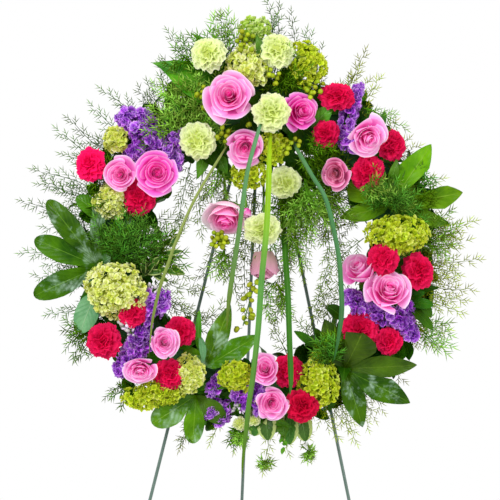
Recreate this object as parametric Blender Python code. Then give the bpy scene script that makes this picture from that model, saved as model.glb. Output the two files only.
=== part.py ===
"""A standing funeral wreath: a flowered foam ring hung on a folding, three-legged wire easel.

Metres, +Z up, the viewer stands at -Y. The origin is on the floor, under the middle of the whole
object. Two frames carry the pieces:
  easel frame   x across, y up the plane of the front legs, z out of that plane towards the viewer,
                with its origin at the middle of the ring
  wreath frame  the easel frame turned a little about z, as the ring hangs on its hook
Flowers and greenery are placed in the wreath frame.
"""

from math import atan2, cos, degrees, hypot, pi, radians, sin, tan

import bmesh
import bpy
from mathutils import Matrix, Quaternion, Vector

# ---- Driving dimensions ---------------------------------------------------------------------
EASEL_HEIGHT = 1.372  # floor to the top of the hub: the 54 inch easel
LEAN = radians(10)  # the front legs lean back by this much
REAR_LEAN = radians(11.5)  # the rear leg leans forward by this much
LEG_RUN = 0.228  # a front leg runs this far sideways for each unit down
LEG_RADIUS = 0.003
GAP = 0.0003  # between pieces that touch

RING_RADIUS = 0.265  # the foam ring's centre line, for a 24 inch ring
FOAM_HALF_WIDTH = 0.0398
FOAM_DEPTH = 0.050
TRAY_WALL = 0.0025
TRAY_RIM = 0.012
RING_SEGMENTS = 56
WREATH_TURN = radians(1.3)  # how far the ring has turned on its hook
EYE = (-0.23, -0.08, 4.49)  # where the viewer's eye is, in the wreath frame

HUB_TOP = 0.300  # in the easel frame's y
HUB_BOTTOM = 0.262
HUB_HALF_WIDTH = 0.026
HUB_THICKNESS = 0.0162
LEG_PLANE = -0.0085  # z of the front legs' centre lines
LEG_TOP_HALF_GAP = 0.012
PIVOT_UP = 0.270  # y of the rear leg's hinge
PIVOT_BACK = -0.0265  # z of the rear leg's hinge
PIN_RADIUS = 0.0025
PIN_HEAD_RADIUS = 0.004
PIN_HEAD_THICKNESS = 0.0015
PIN_CLEARANCE = 0.00006  # in the bores of the ears and of the rear leg's eye
PIN_SIDES = 12
EYE_RADIUS = 0.007
EYE_HALF_WIDTH = 0.003
EAR_THICKNESS = 0.003
TAIL = 0.019  # the rear leg's tail above its hinge, which stops on the hub

HOOK_RADIUS = 0.00225
BRACE_RADIUS = 0.0023
BRACE_UP = -0.262
TIE_RADIUS = 0.0008
TIE_ANGLE = radians(30.5)  # from straight down, where a front leg crosses the ring

STEM_DEPTH = 0.020  # z of the cut ends of the stems, inside the foam
Y_OFFSET = 0.0006  # sets the middle of the box on the origin

STEM_SIDES = 6

# ---- Colours: red, green, blue, roughness, metallic -------------------------------------------
FINISHES = {
    "green_painted_steel": (0.10, 0.20, 0.13, 0.45, 0.6),
    "green_plastic": (0.05, 0.16, 0.07, 0.5, 0.0),
    "floral_foam": (0.10, 0.26, 0.10, 0.95, 0.0),
    "tie_wire": (0.08, 0.20, 0.08, 0.5, 0.5),
    "pink_rose": (0.89, 0.29, 0.56, 0.55, 0.0),
    "lime_carnation": (0.77, 0.83, 0.44, 0.6, 0.0),
    "red_carnation": (0.78, 0.01, 0.10, 0.6, 0.0),
    "lime_hydrangea": (0.63, 0.72, 0.16, 0.6, 0.0),
    "purple_stock": (0.33, 0.13, 0.70, 0.6, 0.0),
    "glossy_leaf": (0.07, 0.27, 0.03, 0.3, 0.0),
    "grass_blade": (0.16, 0.38, 0.08, 0.4, 0.0),
    "fern": (0.20, 0.40, 0.12, 0.6, 0.0),
}

# ---- Where the flowers are -----------------------------------------------------------------------
# A place is (x, y, z): z is the height above the ring's back, and x and y are where the viewer sees it
# against the plane z = 0. seen_at works out the point.
# name: (x, y, z of the head's middle, its radius, how far it looks to +x, how far to +y)
ROSES = {
    "rose_1": (-0.048, 0.279, 0.150, 0.043, -0.10, 0.15),
    "rose_2": (0.086, 0.254, 0.128, 0.032, 0.30, 0.05),
    "rose_3": (-0.019, 0.186, 0.128, 0.031, -0.10, -0.25),
    "rose_4": (-0.250, 0.136, 0.132, 0.028, -0.10, -0.05),
    "rose_5": (-0.182, 0.140, 0.142, 0.038, 0.05, -0.05),
    "rose_6": (0.207, 0.214, 0.142, 0.039, 0.10, -0.10),
    "rose_7": (0.147, 0.136, 0.122, 0.029, -0.25, -0.15),
    "rose_8": (-0.058, 0.062, 0.108, 0.033, -0.15, -0.75),
    "rose_9": (0.015, -0.036, 0.070, 0.026, 0.0, -5.0),
    "rose_10": (-0.170, -0.173, 0.146, 0.031, 0.10, 0.10),
    "rose_11": (-0.212, -0.221, 0.132, 0.029, -0.10, -0.60),
    "rose_12": (0.019, -0.222, 0.128, 0.027, -0.10, 0.20),
    "rose_13": (0.028, -0.284, 0.130, 0.029, -0.10, -0.05),
    "rose_14": (0.193, -0.040, 0.118, 0.028, -0.45, 0.25),
    "rose_15": (0.250, -0.078, 0.146, 0.038, 0.10, 0.40),
}
LIME_CARNATIONS = {
    "lime_carnation_1": (-0.087, 0.362, 0.128, 0.031, -0.20, 0.35),
    "lime_carnation_2": (0.041, 0.368, 0.128, 0.031, 0.10, 0.30),
    "lime_carnation_3": (0.030, 0.252, 0.162, 0.033, 0.05, 0.00),
    "lime_carnation_4": (-0.106, 0.198, 0.120, 0.033, -0.10, -0.10),
    "lime_carnation_5": (0.056, 0.121, 0.100, 0.029, 0.15, -0.45),
    "lime_carnation_6": (0.014, 0.034, 0.128, 0.031, 0.0, -0.40),
}
RED_CARNATIONS = {
    "red_carnation_1": (-0.306, 0.156, 0.112, 0.030, -0.60, 0.10),
    "red_carnation_2": (-0.216, 0.092, 0.104, 0.031, 0.05, -0.20),
    "red_carnation_3": (0.154, 0.284, 0.112, 0.032, 0.20, 0.25),
    "red_carnation_6": (0.210, 0.140, 0.110, 0.031, 0.10, -0.10),
    "red_carnation_7": (0.233, -0.012, 0.142, 0.028, -0.10, 0.20),
    "red_carnation_8": (0.303, -0.042, 0.112, 0.031, 0.40, 0.10),
    "red_carnation_9": (0.184, -0.146, 0.098, 0.030, -0.20, 0.10),
    "red_carnation_11": (-0.281, -0.172, 0.112, 0.031, -0.40, -0.10),
    "red_carnation_14": (-0.158, -0.234, 0.110, 0.030, 0.10, -0.10),
    "red_carnation_16": (0.086, -0.292, 0.116, 0.030, 0.05, -0.15),
}
# the flowers that hang in the opening, and the x of their stems in the top of the ring
HANGING = {"rose_8": -0.078, "rose_9": 0.013, "lime_carnation_5": 0.078, "lime_carnation_6": 0.048}
# and here how much wider and taller than the radius
HYDRANGEAS = {
    "hydrangea_1": (-0.004, 0.405, 0.080, 0.031, 0.00, 0.40, 1.0, 0.95),
    "hydrangea_2": (0.103, 0.344, 0.100, 0.033, 0.35, 0.40, 0.95, 1.1),
    "hydrangea_3": (0.272, 0.036, 0.118, 0.048, 0.15, 0.15, 1.15, 0.70),
    "hydrangea_4": (-0.262, -0.080, 0.112, 0.050, -0.15, 0.05, 1.05, 0.98),
    "hydrangea_5": (-0.202, -0.284, 0.080, 0.033, -0.10, -0.50, 1.25, 0.62),
    "hydrangea_6": (0.124, -0.236, 0.092, 0.036, 0.10, 0.00, 0.95, 1.15),
}
# name: radius, then the points that the spike of florets follows
STOCKS = {
    "stock_1": (0.020, [(-0.178, 0.194, 0.085), (-0.215, 0.212, 0.090), (-0.250, 0.240, 0.088)]),
    "stock_2": (0.017, [(0.158, 0.196, 0.090), (0.168, 0.240, 0.086), (0.192, 0.290, 0.084)]),
    "stock_3": (0.019, [(-0.228, -0.160, 0.088), (-0.205, -0.120, 0.098), (-0.186, -0.068, 0.096)]),
    "stock_4": (0.019, [(0.276, -0.124, 0.090), (0.232, -0.124, 0.092), (0.170, -0.080, 0.078)]),
}
# name: (x, y, z of the palm, radius of the palm), then each lobe's (bearing in degrees, length, half width)
FATSIA_LEAVES = {
    "fatsia_leaf_left": (
        (-0.289, -0.033, 0.0620, 0.026),
        [(92, 0.129, 0.016), (128, 0.150, 0.020), (157, 0.126, 0.020),
         (204, 0.126, 0.022), (257, 0.122, 0.020), (17, 0.100, 0.018)],
    ),
    "fatsia_leaf_upper_right": (
        (0.246, 0.078, 0.0620, 0.024),
        [(56, 0.136, 0.021), (13, 0.137, 0.021), (-14, 0.126, 0.017), (192, 0.087, 0.016), (162, 0.072, 0.015)],
    ),
    "fatsia_leaf_lower_right": (
        (0.163, -0.222, 0.0620, 0.024),
        [(2, 0.133, 0.019), (-28, 0.137, 0.022), (-72, 0.111, 0.019), (40, 0.094, 0.020), (98, 0.092, 0.019)],
    ),
    "fatsia_leaf_lower_left": (
        (-0.111, -0.270, 0.0585, 0.022),
        [(222, 0.097, 0.022), (267, 0.085, 0.016), (317, 0.068, 0.017)],
    ),
    "fatsia_leaf_middle": (
        (-0.094, -0.218, 0.0620, 0.020),
        [(31, 0.107, 0.020), (68, 0.119, 0.020), (140, 0.050, 0.014)],
    ),
}
# a lobe's edge: (share of the way from the palm to the tip, half widths from its midrib)
LOBE_EDGE = [(0.35, -0.80), (0.62, -1.0), (0.86, -0.55), (1.0, 0.0), (0.86, 0.55), (0.62, 1.0), (0.35, 0.80)]
LEAF_THICKNESS = 0.0012
PETIOLE_RADIUS = 0.002
# name: half width, then the points along the blade
LILY_GRASS = {
    "lily_grass_1": (
        0.0045,
        [(0.028, 0.240, 0.030), (0.029, 0.205, 0.110), (0.026, 0.168, 0.190), (0.021, 0.060, 0.215),
         (0.010, -0.100, 0.208), (-0.006, -0.260, 0.190), (-0.026, -0.424, 0.176)],
    ),
    "lily_grass_2": (
        0.0045,
        [(0.086, 0.212, 0.040), (0.088, 0.190, 0.120), (0.120, 0.110, 0.176), (0.153, -0.010, 0.182),
         (0.159, -0.115, 0.164), (0.148, -0.202, 0.110)],
    ),
}
BLADE_HALF_THICKNESS = 0.0006
# the fern collar: each spray's (bearing in degrees from +x, how far its tip is from the middle)
FERN_TIPS = [
    (0, 0.429), (14, 0.395), (28, 0.390), (40, 0.400), (53, 0.415), (66, 0.440), (78, 0.455), (90, 0.478),
    (103, 0.440), (117, 0.425), (130, 0.418), (143, 0.420), (155, 0.428), (167, 0.430), (180, 0.429),
    (194, 0.400), (210, 0.378), (226, 0.370), (242, 0.372), (258, 0.395), (272, 0.408), (286, 0.400),
    (300, 0.405), (315, 0.392), (330, 0.398), (345, 0.410),
]
FERN_ROOT_RADIUS = 0.325
FERN_BACK = 0.014
FERN_THICKNESS = 0.002

# A flower's outline from its neck to its front: (z, r) in units of its radius.
ROSE_OUTLINE = [
    (-0.98, 0.11), (-0.85, 0.26), (-0.60, 0.46), (-0.22, 0.84), (0.08, 1.00),
    (0.28, 0.96), (0.38, 0.78), (0.34, 0.55), (0.50, 0.34), (0.46, 0.10),
]
CARNATION_OUTLINE = [
    (-1.10, 0.11), (-0.95, 0.20), (-0.55, 0.24), (-0.35, 0.72), (-0.05, 1.00),
    (0.22, 0.94), (0.44, 0.70), (0.55, 0.30),
]
HYDRANGEA_OUTLINE = [
    (-0.85, 0.09), (-0.55, 0.50), (-0.25, 0.90), (0.02, 1.00), (0.28, 0.92), (0.50, 0.66), (0.60, 0.28),
]


# ---- Scene, materials and frames -------------------------------------------------------------
def clear_scene():
    for obj in list(bpy.data.objects):
        bpy.data.objects.remove(obj, do_unlink=True)


def make_materials():
    made = {}
    for name, (red, green, blue, roughness, metallic) in FINISHES.items():
        material = bpy.data.materials.new(name)
        material.use_nodes = True
        shader = material.node_tree.nodes["Principled BSDF"]
        shader.inputs["Base Color"].default_value = (red, green, blue, 1.0)
        shader.inputs["Roughness"].default_value = roughness
        shader.inputs["Metallic"].default_value = metallic
        material.diffuse_color = (red, green, blue, 1.0)
        made[name] = material
    return made


def add_empty(name, parent=None, matrix=None):
    empty = bpy.data.objects.new(name, None)
    bpy.context.scene.collection.objects.link(empty)
    empty.parent = parent
    if matrix is not None:
        empty.matrix_local = matrix
    return empty


def add_part(name, bm, material, parent, smooth=True):
    """A named object from a bmesh, with its faces pointing out."""
    bmesh.ops.recalc_face_normals(bm, faces=bm.faces)
    mesh = bpy.data.meshes.new(name)
    bm.to_mesh(mesh)
    bm.free()
    if smooth:
        mesh.shade_smooth()
        mesh.set_sharp_from_angle(angle=radians(40))
    if material:
        mesh.materials.append(material)
    obj = bpy.data.objects.new(name, mesh)
    bpy.context.scene.collection.objects.link(obj)
    obj.parent = parent
    return obj


def add_cutter(name, bm, parent):
    cutter = add_part(name, bm, None, parent, smooth=False)
    cutter.hide_render = True
    cutter.display_type = "WIRE"
    return cutter


def cut(obj, cutter, operation="DIFFERENCE"):
    modifier = obj.modifiers.new(cutter.name, "BOOLEAN")
    modifier.operation = operation
    modifier.object = cutter


def seen_at(x, y, z):
    """The point z above the ring's back that the viewer sees at x, y on the plane z = 0."""
    return Vector((x, y, 0)).lerp(Vector(EYE), z / EYE[2])


def easel_matrix():
    """The easel frame: its origin is the ring's middle, HUB_TOP below the hub's top."""
    up = EASEL_HEIGHT - HUB_TOP * cos(LEAN)
    back = Y_OFFSET - HUB_TOP * sin(LEAN)
    return Matrix.Translation((0, back, up)) @ Matrix.Rotation(pi / 2 - LEAN, 4, "X")


# ---- Shapes ---------------------------------------------------------------------------------
def turned_frames(normals):
    """An x and y axis across each normal, carried from one to the next without twisting."""
    first = normals[0]
    guide = Vector((1, 0, 0)) if abs(first.x) < 0.9 else Vector((0, 1, 0))
    across = (guide - first * guide.dot(first)).normalized()
    frames = []
    before = first
    for normal in normals:
        across = before.rotation_difference(normal) @ across
        frames.append((across.copy(), normal.cross(across)))
        before = normal
    return frames


def add_tube(bm, rings, sides, frill=0.0, closed=False):
    """Joins rings of (centre, normal, x radius, y radius) into one skin, capped unless it is closed."""
    frames = turned_frames([ring[1] for ring in rings])
    loops = []
    for (centre, _, x_radius, y_radius), (x_axis, y_axis) in zip(rings, frames):
        loop = []
        for i in range(sides):
            angle = 2 * pi * i / sides
            size = 1 + (frill if i % 2 else -frill)
            across = x_axis * (cos(angle) * x_radius * size)
            up = y_axis * (sin(angle) * y_radius * size)
            loop.append(bm.verts.new(centre + across + up))
        loops.append(loop)
    pairs = list(zip(loops, loops[1:]))
    if closed:
        pairs.append((loops[-1], loops[0]))
    else:
        bm.faces.new(loops[0])
        bm.faces.new(loops[-1])
    for low, high in pairs:
        for i in range(sides):
            j = (i + 1) % sides
            bm.faces.new((low[i], low[j], high[j], high[i]))


def line_normals(points, closed=False):
    """The direction of travel at each point."""
    count = len(points)
    normals = []
    for i in range(count):
        after = points[(i + 1) % count] if closed or i < count - 1 else points[i]
        before = points[i - 1] if closed or i > 0 else points[i]
        normals.append((after - before).normalized())
    return normals


def rod_rings(points, radius, closed=False):
    return [(p, n, radius, radius) for p, n in zip(points, line_normals(points, closed))]


def rounded_path(corners, radius, steps=4, closed=False):
    """A path through the corners, each one turned on an arc."""
    path = []
    count = len(corners)
    for i, corner in enumerate(corners):
        if not closed and i in (0, count - 1):
            path.append(corner)
            continue
        before = (corners[i - 1] - corner).normalized()
        after = (corners[(i + 1) % count] - corner).normalized()
        half = before.angle(after) / 2
        reach = radius / tan(half)
        centre = corner + (before + after).normalized() * (radius / sin(half))
        start = corner + before * reach - centre
        end = corner + after * reach - centre
        turn, axis = start.angle(end), start.cross(end).normalized()
        for step in range(steps + 1):
            path.append(centre + Quaternion(axis, turn * step / steps) @ start)
    return path


def smooth_path(points, steps):
    """A Catmull-Rom curve through the points."""
    ends = [points[0] * 2 - points[1], *points, points[-1] * 2 - points[-2]]
    path = []
    for i in range(1, len(ends) - 2):
        a, b, c, d = ends[i - 1 : i + 3]
        for step in range(steps):
            t = step / steps
            path.append(
                0.5 * ((2 * b) + (c - a) * t + (2 * a - 5 * b + 4 * c - d) * t**2 + (3 * b - a - 3 * c + d) * t**3)
            )
    path.append(points[-1])
    return path


def lathe(outline, segments):
    """A ring turned about z from a closed outline of (radius, z)."""
    bm = bmesh.new()
    loops = []
    for i in range(segments):
        angle = 2 * pi * i / segments
        loops.append([bm.verts.new((r * cos(angle), r * sin(angle), z)) for r, z in outline])
    count = len(outline)
    for i, low in enumerate(loops):
        high = loops[(i + 1) % segments]
        for j in range(count):
            k = (j + 1) % count
            bm.faces.new((low[j], low[k], high[k], high[j]))
    return bm


def box(low, high):
    """A bmesh box between two corners."""
    bm = bmesh.new()
    bmesh.ops.create_cube(bm, size=1.0)
    low, high = Vector(low), Vector(high)
    for vert in bm.verts:
        vert.co = (low + high) / 2 + Vector(a * b for a, b in zip(vert.co, high - low))
    return bm


def plate(outlines, low, high):
    """A flat plate between two heights: the first outline is its edge, and any others are holes."""
    bm = bmesh.new()
    edges = []
    for outline in outlines:
        verts = [bm.verts.new((x, y, low)) for x, y in outline]
        edges += [bm.edges.new((a, b)) for a, b in zip(verts, verts[1:] + verts[:1])]
    bmesh.ops.triangle_fill(bm, edges=edges, use_beauty=True)
    made = bmesh.ops.extrude_face_region(bm, geom=list(bm.faces))
    for item in made["geom"]:
        if isinstance(item, bmesh.types.BMVert):
            item.co.z = high
    return bm


# ---- The easel --------------------------------------------------------------------------------
def leg_line(side):
    """A front leg's top and its direction down, in the easel frame."""
    top = Vector((side * LEG_TOP_HALF_GAP, HUB_TOP - 0.010, LEG_PLANE))
    return top, Vector((side * LEG_RUN, -1, 0)).normalized()


def leg_to_floor(top, direction, radius, frame):
    """A rod from its top down along direction, cut off level with the floor of the world."""
    normal = frame.to_3x3() @ direction
    start = frame @ top
    across, up = turned_frames([normal])[0]
    sides = 8
    back = frame.inverted()
    bm = bmesh.new()
    highs, lows = [], []
    for i in range(sides):
        angle = 2 * pi * i / sides
        at = start + across * (cos(angle) * radius) + up * (sin(angle) * radius)
        highs.append(bm.verts.new(back @ at))
        lows.append(bm.verts.new(back @ (at - normal * (at.z / normal.z))))
    bm.faces.new(highs)
    bm.faces.new(lows)
    for i in range(sides):
        j = (i + 1) % sides
        bm.faces.new((highs[i], highs[j], lows[j], lows[i]))
    return bm


def build_front_legs(easel, steel):
    frame = easel_matrix()
    for name, side in (("front_left_leg", -1), ("front_right_leg", 1)):
        top, down = leg_line(side)
        add_part(name, leg_to_floor(top, down, LEG_RADIUS, frame), steel, easel)


def pin_bore():
    """How far the corners of a bore for the hinge pin are from its axis."""
    return (PIN_RADIUS + PIN_CLEARANCE) / cos(pi / PIN_SIDES)


def across_hinge(middle, shape):
    """A bmesh turned about the x axis through middle, from (x, radius) pairs."""
    bm = bmesh.new()
    axis = Vector((1, 0, 0))
    add_tube(bm, [(middle + axis * x, axis, radius, radius) for x, radius in shape], PIN_SIDES)
    return bm


def build_hub(easel, steel):
    """The block that holds the tops of the front legs and the hook, with two ears for the hinge."""
    hub = add_part(
        "apex_hub",
        box((-HUB_HALF_WIDTH, HUB_BOTTOM, -GAP - HUB_THICKNESS), (HUB_HALF_WIDTH, HUB_TOP, -GAP)),
        steel,
        easel,
        smooth=False,
    )
    ear_in = EYE_HALF_WIDTH + GAP
    for name, side in (("hub_left_ear", -1), ("hub_right_ear", 1)):
        near, far = sorted((side * ear_in, side * (ear_in + EAR_THICKNESS)))
        low = (near, PIVOT_UP - EYE_RADIUS, PIVOT_BACK - EYE_RADIUS)
        high = (far, PIVOT_UP + EYE_RADIUS, -GAP - HUB_THICKNESS + 0.004)
        cut(hub, add_cutter(name, box(low, high), easel), "UNION")
    for name, side in (("left_leg_socket", -1), ("right_leg_socket", 1)):
        top, down = leg_line(side)
        bm = bmesh.new()
        ends = [top - down * GAP, top + down * 0.06]
        add_tube(bm, rod_rings(ends, LEG_RADIUS + GAP), 8)
        cut(hub, add_cutter(name, bm, easel))
    bm = bmesh.new()
    add_tube(bm, rod_rings([hook_path()[0] + Vector((0, GAP, 0)), hook_path()[0] - Vector((0, 0.03, 0))],
                           HOOK_RADIUS + GAP), 8)
    cut(hub, add_cutter("hook_socket", bm, easel))
    bore = across_hinge(Vector((0, PIVOT_UP, PIVOT_BACK)), [(-0.02, pin_bore()), (0.02, pin_bore())])
    cut(hub, add_cutter("pin_bore", bore, easel))


def hook_path():
    """The hook's wire: down from the hub, forward under the ring, and up in front of its foam."""
    inner_edge = RING_RADIUS - FOAM_HALF_WIDTH - TRAY_WALL - GAP
    under = inner_edge - GAP - HOOK_RADIUS
    front = TRAY_WALL + GAP + FOAM_DEPTH + GAP + HOOK_RADIUS
    corners = [(HUB_BOTTOM + 0.012, LEG_PLANE), (under, LEG_PLANE), (under, front), (under + 0.030, front)]
    return rounded_path([Vector((0, y, z)) for y, z in corners], 0.006)


def build_hook(easel, steel):
    bm = bmesh.new()
    add_tube(bm, rod_rings(hook_path(), HOOK_RADIUS), 8)
    add_part("wreath_hook", bm, steel, easel)


def build_brace(easel, steel):
    """The cross wire that the ring's lower edge leans on, across the front of both legs."""
    reach = LEG_TOP_HALF_GAP + LEG_RUN * (HUB_TOP - 0.010 - BRACE_UP) + 0.006
    depth = LEG_PLANE + LEG_RADIUS + GAP + BRACE_RADIUS
    bm = bmesh.new()
    add_tube(bm, rod_rings([Vector((x, BRACE_UP, depth)) for x in (-reach, reach)], BRACE_RADIUS), 8)
    add_part("cross_brace", bm, steel, easel)


def build_hinge(easel, steel):
    """The rear leg, whose object turns about its own origin on the pin, and the riveted pin."""
    shank = EYE_HALF_WIDTH + GAP + EAR_THICKNESS + GAP
    end = shank + PIN_HEAD_THICKNESS
    half = [(shank, PIN_RADIUS), (shank, PIN_HEAD_RADIUS), (end, PIN_HEAD_RADIUS)]
    shape = [(-x, radius) for x, radius in reversed(half)] + half
    pin = across_hinge(Vector((0, PIVOT_UP, PIVOT_BACK)), shape)
    add_part("hinge_pin", pin, steel, easel)

    pivot = easel_matrix() @ Vector((0, PIVOT_UP, PIVOT_BACK))
    hinge = add_empty("rear_leg_hinge", matrix=Matrix.Translation(pivot))
    down = Vector((0, sin(REAR_LEAN), -cos(REAR_LEAN)))
    rear = add_part("rear_leg", leg_to_floor(-down * TAIL, down, LEG_RADIUS, Matrix.Translation(pivot)), steel, hinge)
    for name, radius, half_length, operation in (
        ("rear_leg_eye", EYE_RADIUS, EYE_HALF_WIDTH, "UNION"),
        ("rear_leg_bore", pin_bore(), 0.02, "DIFFERENCE"),
    ):
        tool = across_hinge(Vector(), [(-half_length, radius), (half_length, radius)])
        cut(rear, add_cutter(name, tool, hinge), operation)


# ---- The ring ---------------------------------------------------------------------------------
def build_tray(wreath, plastic):
    """The plastic tray that backs the foam."""
    inner = RING_RADIUS - FOAM_HALF_WIDTH - GAP
    outer = RING_RADIUS + FOAM_HALF_WIDTH + GAP
    wall = TRAY_WALL
    outline = [
        (inner - wall, 0), (outer + wall, 0), (outer + wall, TRAY_RIM), (outer, TRAY_RIM),
        (outer, wall), (inner, wall), (inner, TRAY_RIM), (inner - wall, TRAY_RIM),
    ]
    add_part("backing_tray", lathe(outline, RING_SEGMENTS), plastic, wreath)


def build_foam(wreath, foam):
    back = TRAY_WALL + GAP
    front = back + FOAM_DEPTH
    inner = RING_RADIUS - FOAM_HALF_WIDTH
    outer = RING_RADIUS + FOAM_HALF_WIDTH
    outline = [
        (inner, back), (outer, back), (outer, front - 0.015), (outer - 0.006, front - 0.004),
        (outer - 0.016, front), (inner + 0.016, front), (inner + 0.006, front - 0.004), (inner, front - 0.015),
    ]
    return add_part("foam_ring", lathe(outline, RING_SEGMENTS), foam, wreath)


def tie_direction(side):
    return Vector((side * sin(TIE_ANGLE), -cos(TIE_ANGLE), 0))


def build_ties(easel, wire):
    """The wires that bind the ring to the front legs."""
    inner = RING_RADIUS - FOAM_HALF_WIDTH - TRAY_WALL - 2.5 * GAP - TIE_RADIUS
    outer = RING_RADIUS + FOAM_HALF_WIDTH + TRAY_WALL + 2.5 * GAP + TIE_RADIUS
    back = LEG_PLANE - LEG_RADIUS - GAP - TIE_RADIUS
    front = TRAY_WALL + 2 * GAP + FOAM_DEPTH + TIE_RADIUS
    for name, side in (("tie_wire_left", -1), ("tie_wire_right", 1)):
        away = tie_direction(side)
        corners = [
            away * radius + Vector((0, 0, depth))
            for radius, depth in ((inner, back), (outer, back), (outer, front), (inner, front))
        ]
        path = rounded_path(corners, 0.004, steps=3, closed=True)
        bm = bmesh.new()
        add_tube(bm, rod_rings(path, TIE_RADIUS, closed=True), 6, closed=True)
        add_part(name, bm, wire, easel)


# ---- Flowers and greenery ---------------------------------------------------------------------
def stem_foot(neck):
    """Where a stem that leaves the head at neck ends in the foam."""
    radius = hypot(neck.x, neck.y)
    angle = atan2(neck.y, neck.x)
    held = min(max(radius, RING_RADIUS - 0.022), RING_RADIUS + 0.022)
    return Vector((held * cos(angle), held * sin(angle), STEM_DEPTH))


def hanging_foot(name):
    """Where the stem of a flower that hangs in the opening ends: in the top of the ring."""
    return Vector((HANGING[name], RING_RADIUS - 0.018, 0.036))


def stem_hole(foot, neck, radius):
    """A bmesh of the hole that a stem needs in the foam."""
    along = (neck - foot).normalized()
    reach = min((neck - foot).length * 0.95, 0.070)
    bm = bmesh.new()
    wide = (radius + GAP) / cos(pi / STEM_SIDES)
    add_tube(bm, rod_rings([foot - along * GAP, foot + along * reach], wide), STEM_SIDES)
    return bm


def build_flower(name, place, outline, stem, sides, frill, material, wreath, stretch=(1, 1)):
    """A head on its stem, as one solid. Returns the cutter for its hole in the foam."""
    x, y, z, radius, look_x, look_y = place
    middle = seen_at(x, y, z)
    look = Vector((look_x, look_y, 1)).normalized()
    neck = middle + look * (outline[0][0] * radius)
    foot = hanging_foot(name) if name in HANGING else stem_foot(neck)
    along = (neck - foot).normalized()
    rings = [(foot, along, stem, stem), (foot.lerp(neck, 0.85), along, stem, stem)]
    for out, share in outline:
        size = max(share * radius, stem)
        rings.append((middle + look * (out * radius), look, size * stretch[0], size * stretch[1]))
    bm = bmesh.new()
    add_tube(bm, rings, sides, frill)
    add_part(name, bm, material, wreath)
    hole_radius = stem * (1 + frill) * max(stretch)
    return add_cutter(f"{name}_hole", stem_hole(foot, neck, hole_radius), wreath)


def build_stock(name, radius, points, material, wreath):
    """A spike of florets that lies along its points, with its stem in the foam."""
    points = [seen_at(*p) for p in points]
    stem = 0.0028
    foot = stem_foot(points[0])
    along = (points[0] - foot).normalized()
    rings = [(foot, along, stem, stem), (foot.lerp(points[0], 0.55), along, stem, stem)]
    path = smooth_path([foot.lerp(points[0], 0.8), *points], 3)
    count = len(path)
    for i, (point, normal) in enumerate(zip(path, line_normals(path))):
        swell = sin(pi * min(1.0, 0.12 + i / (count - 1))) ** 0.4 if i < count - 1 else 0.3
        size = max(stem, radius * swell * (1.0 if i % 2 else 0.85))
        rings.append((point, normal, size, size))
    bm = bmesh.new()
    add_tube(bm, rings, 10, 0.08)
    add_part(name, bm, material, wreath)
    return add_cutter(f"{name}_hole", stem_hole(foot, points[0], stem * 1.1), wreath)


def leaf_outline(palm, lobes):
    """The outline of a palmate leaf about its palm's middle: its bearings only ever increase."""
    outline = []
    lobes = sorted((bearing % 360, length, half_width) for bearing, length, half_width in lobes)
    for i, (bearing, length, half_width) in enumerate(lobes):
        after = (lobes[(i + 1) % len(lobes)][0] - bearing) % 360 or 360
        before = (bearing - lobes[i - 1][0]) % 360 or 360
        for out, across in LOBE_EDGE:
            reach = palm + out * (length - palm)
            swing = degrees(atan2(across * half_width, reach))
            swing = max(min(swing, 0.40 * after), -0.40 * before)
            angle = radians(bearing + swing)
            outline.append(Vector((reach * cos(angle), reach * sin(angle))))
        steps = 1 if after < 90 else round(after / 40)
        for step in range(steps):
            angle = radians(bearing + after * ((step + 0.5) / steps if steps > 1 else 0.5))
            outline.append(Vector((palm * cos(angle), palm * sin(angle))))
    return outline


def build_leaf(name, place, lobes, material, wreath):
    x, y, z, palm = place
    x, y, _ = seen_at(x, y, z)
    outline = [Vector((x, y)) + point for point in leaf_outline(palm, lobes)]
    leaf = add_part(name, plate([outline], z, z + LEAF_THICKNESS), material, wreath, smooth=False)
    top = Vector((x, y, z + LEAF_THICKNESS / 2))
    foot = stem_foot(top)
    bm = bmesh.new()
    add_tube(bm, rod_rings([foot, top], PETIOLE_RADIUS), STEM_SIDES)
    cut(leaf, add_cutter(f"{name}_petiole", bm, wreath), "UNION")
    return add_cutter(f"{name}_hole", stem_hole(foot, top, PETIOLE_RADIUS), wreath)


def build_blade(name, half_width, points, material, wreath):
    """A strap of grass, pointed at its free end."""
    path = smooth_path([seen_at(*p) for p in points], 4)
    count = len(path)
    rings = []
    for i, (point, normal) in enumerate(zip(path, line_normals(path))):
        width = half_width * min(1.0, 0.15 + 3.0 * (count - 1 - i) / (count - 1))
        rings.append((point, normal, width, BLADE_HALF_THICKNESS))
    bm = bmesh.new()
    add_tube(bm, rings, 4)
    add_part(name, bm, material, wreath)
    bm = bmesh.new()
    wide = half_width + GAP
    deep = BLADE_HALF_THICKNESS + GAP
    start = path[0] - (path[1] - path[0]).normalized() * GAP
    hole = [start, *path[1:5]]
    add_tube(bm, [(p, n, wide, deep) for p, n in zip(hole, line_normals(hole))], 4)
    return add_cutter(f"{name}_hole", bm, wreath)


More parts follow.
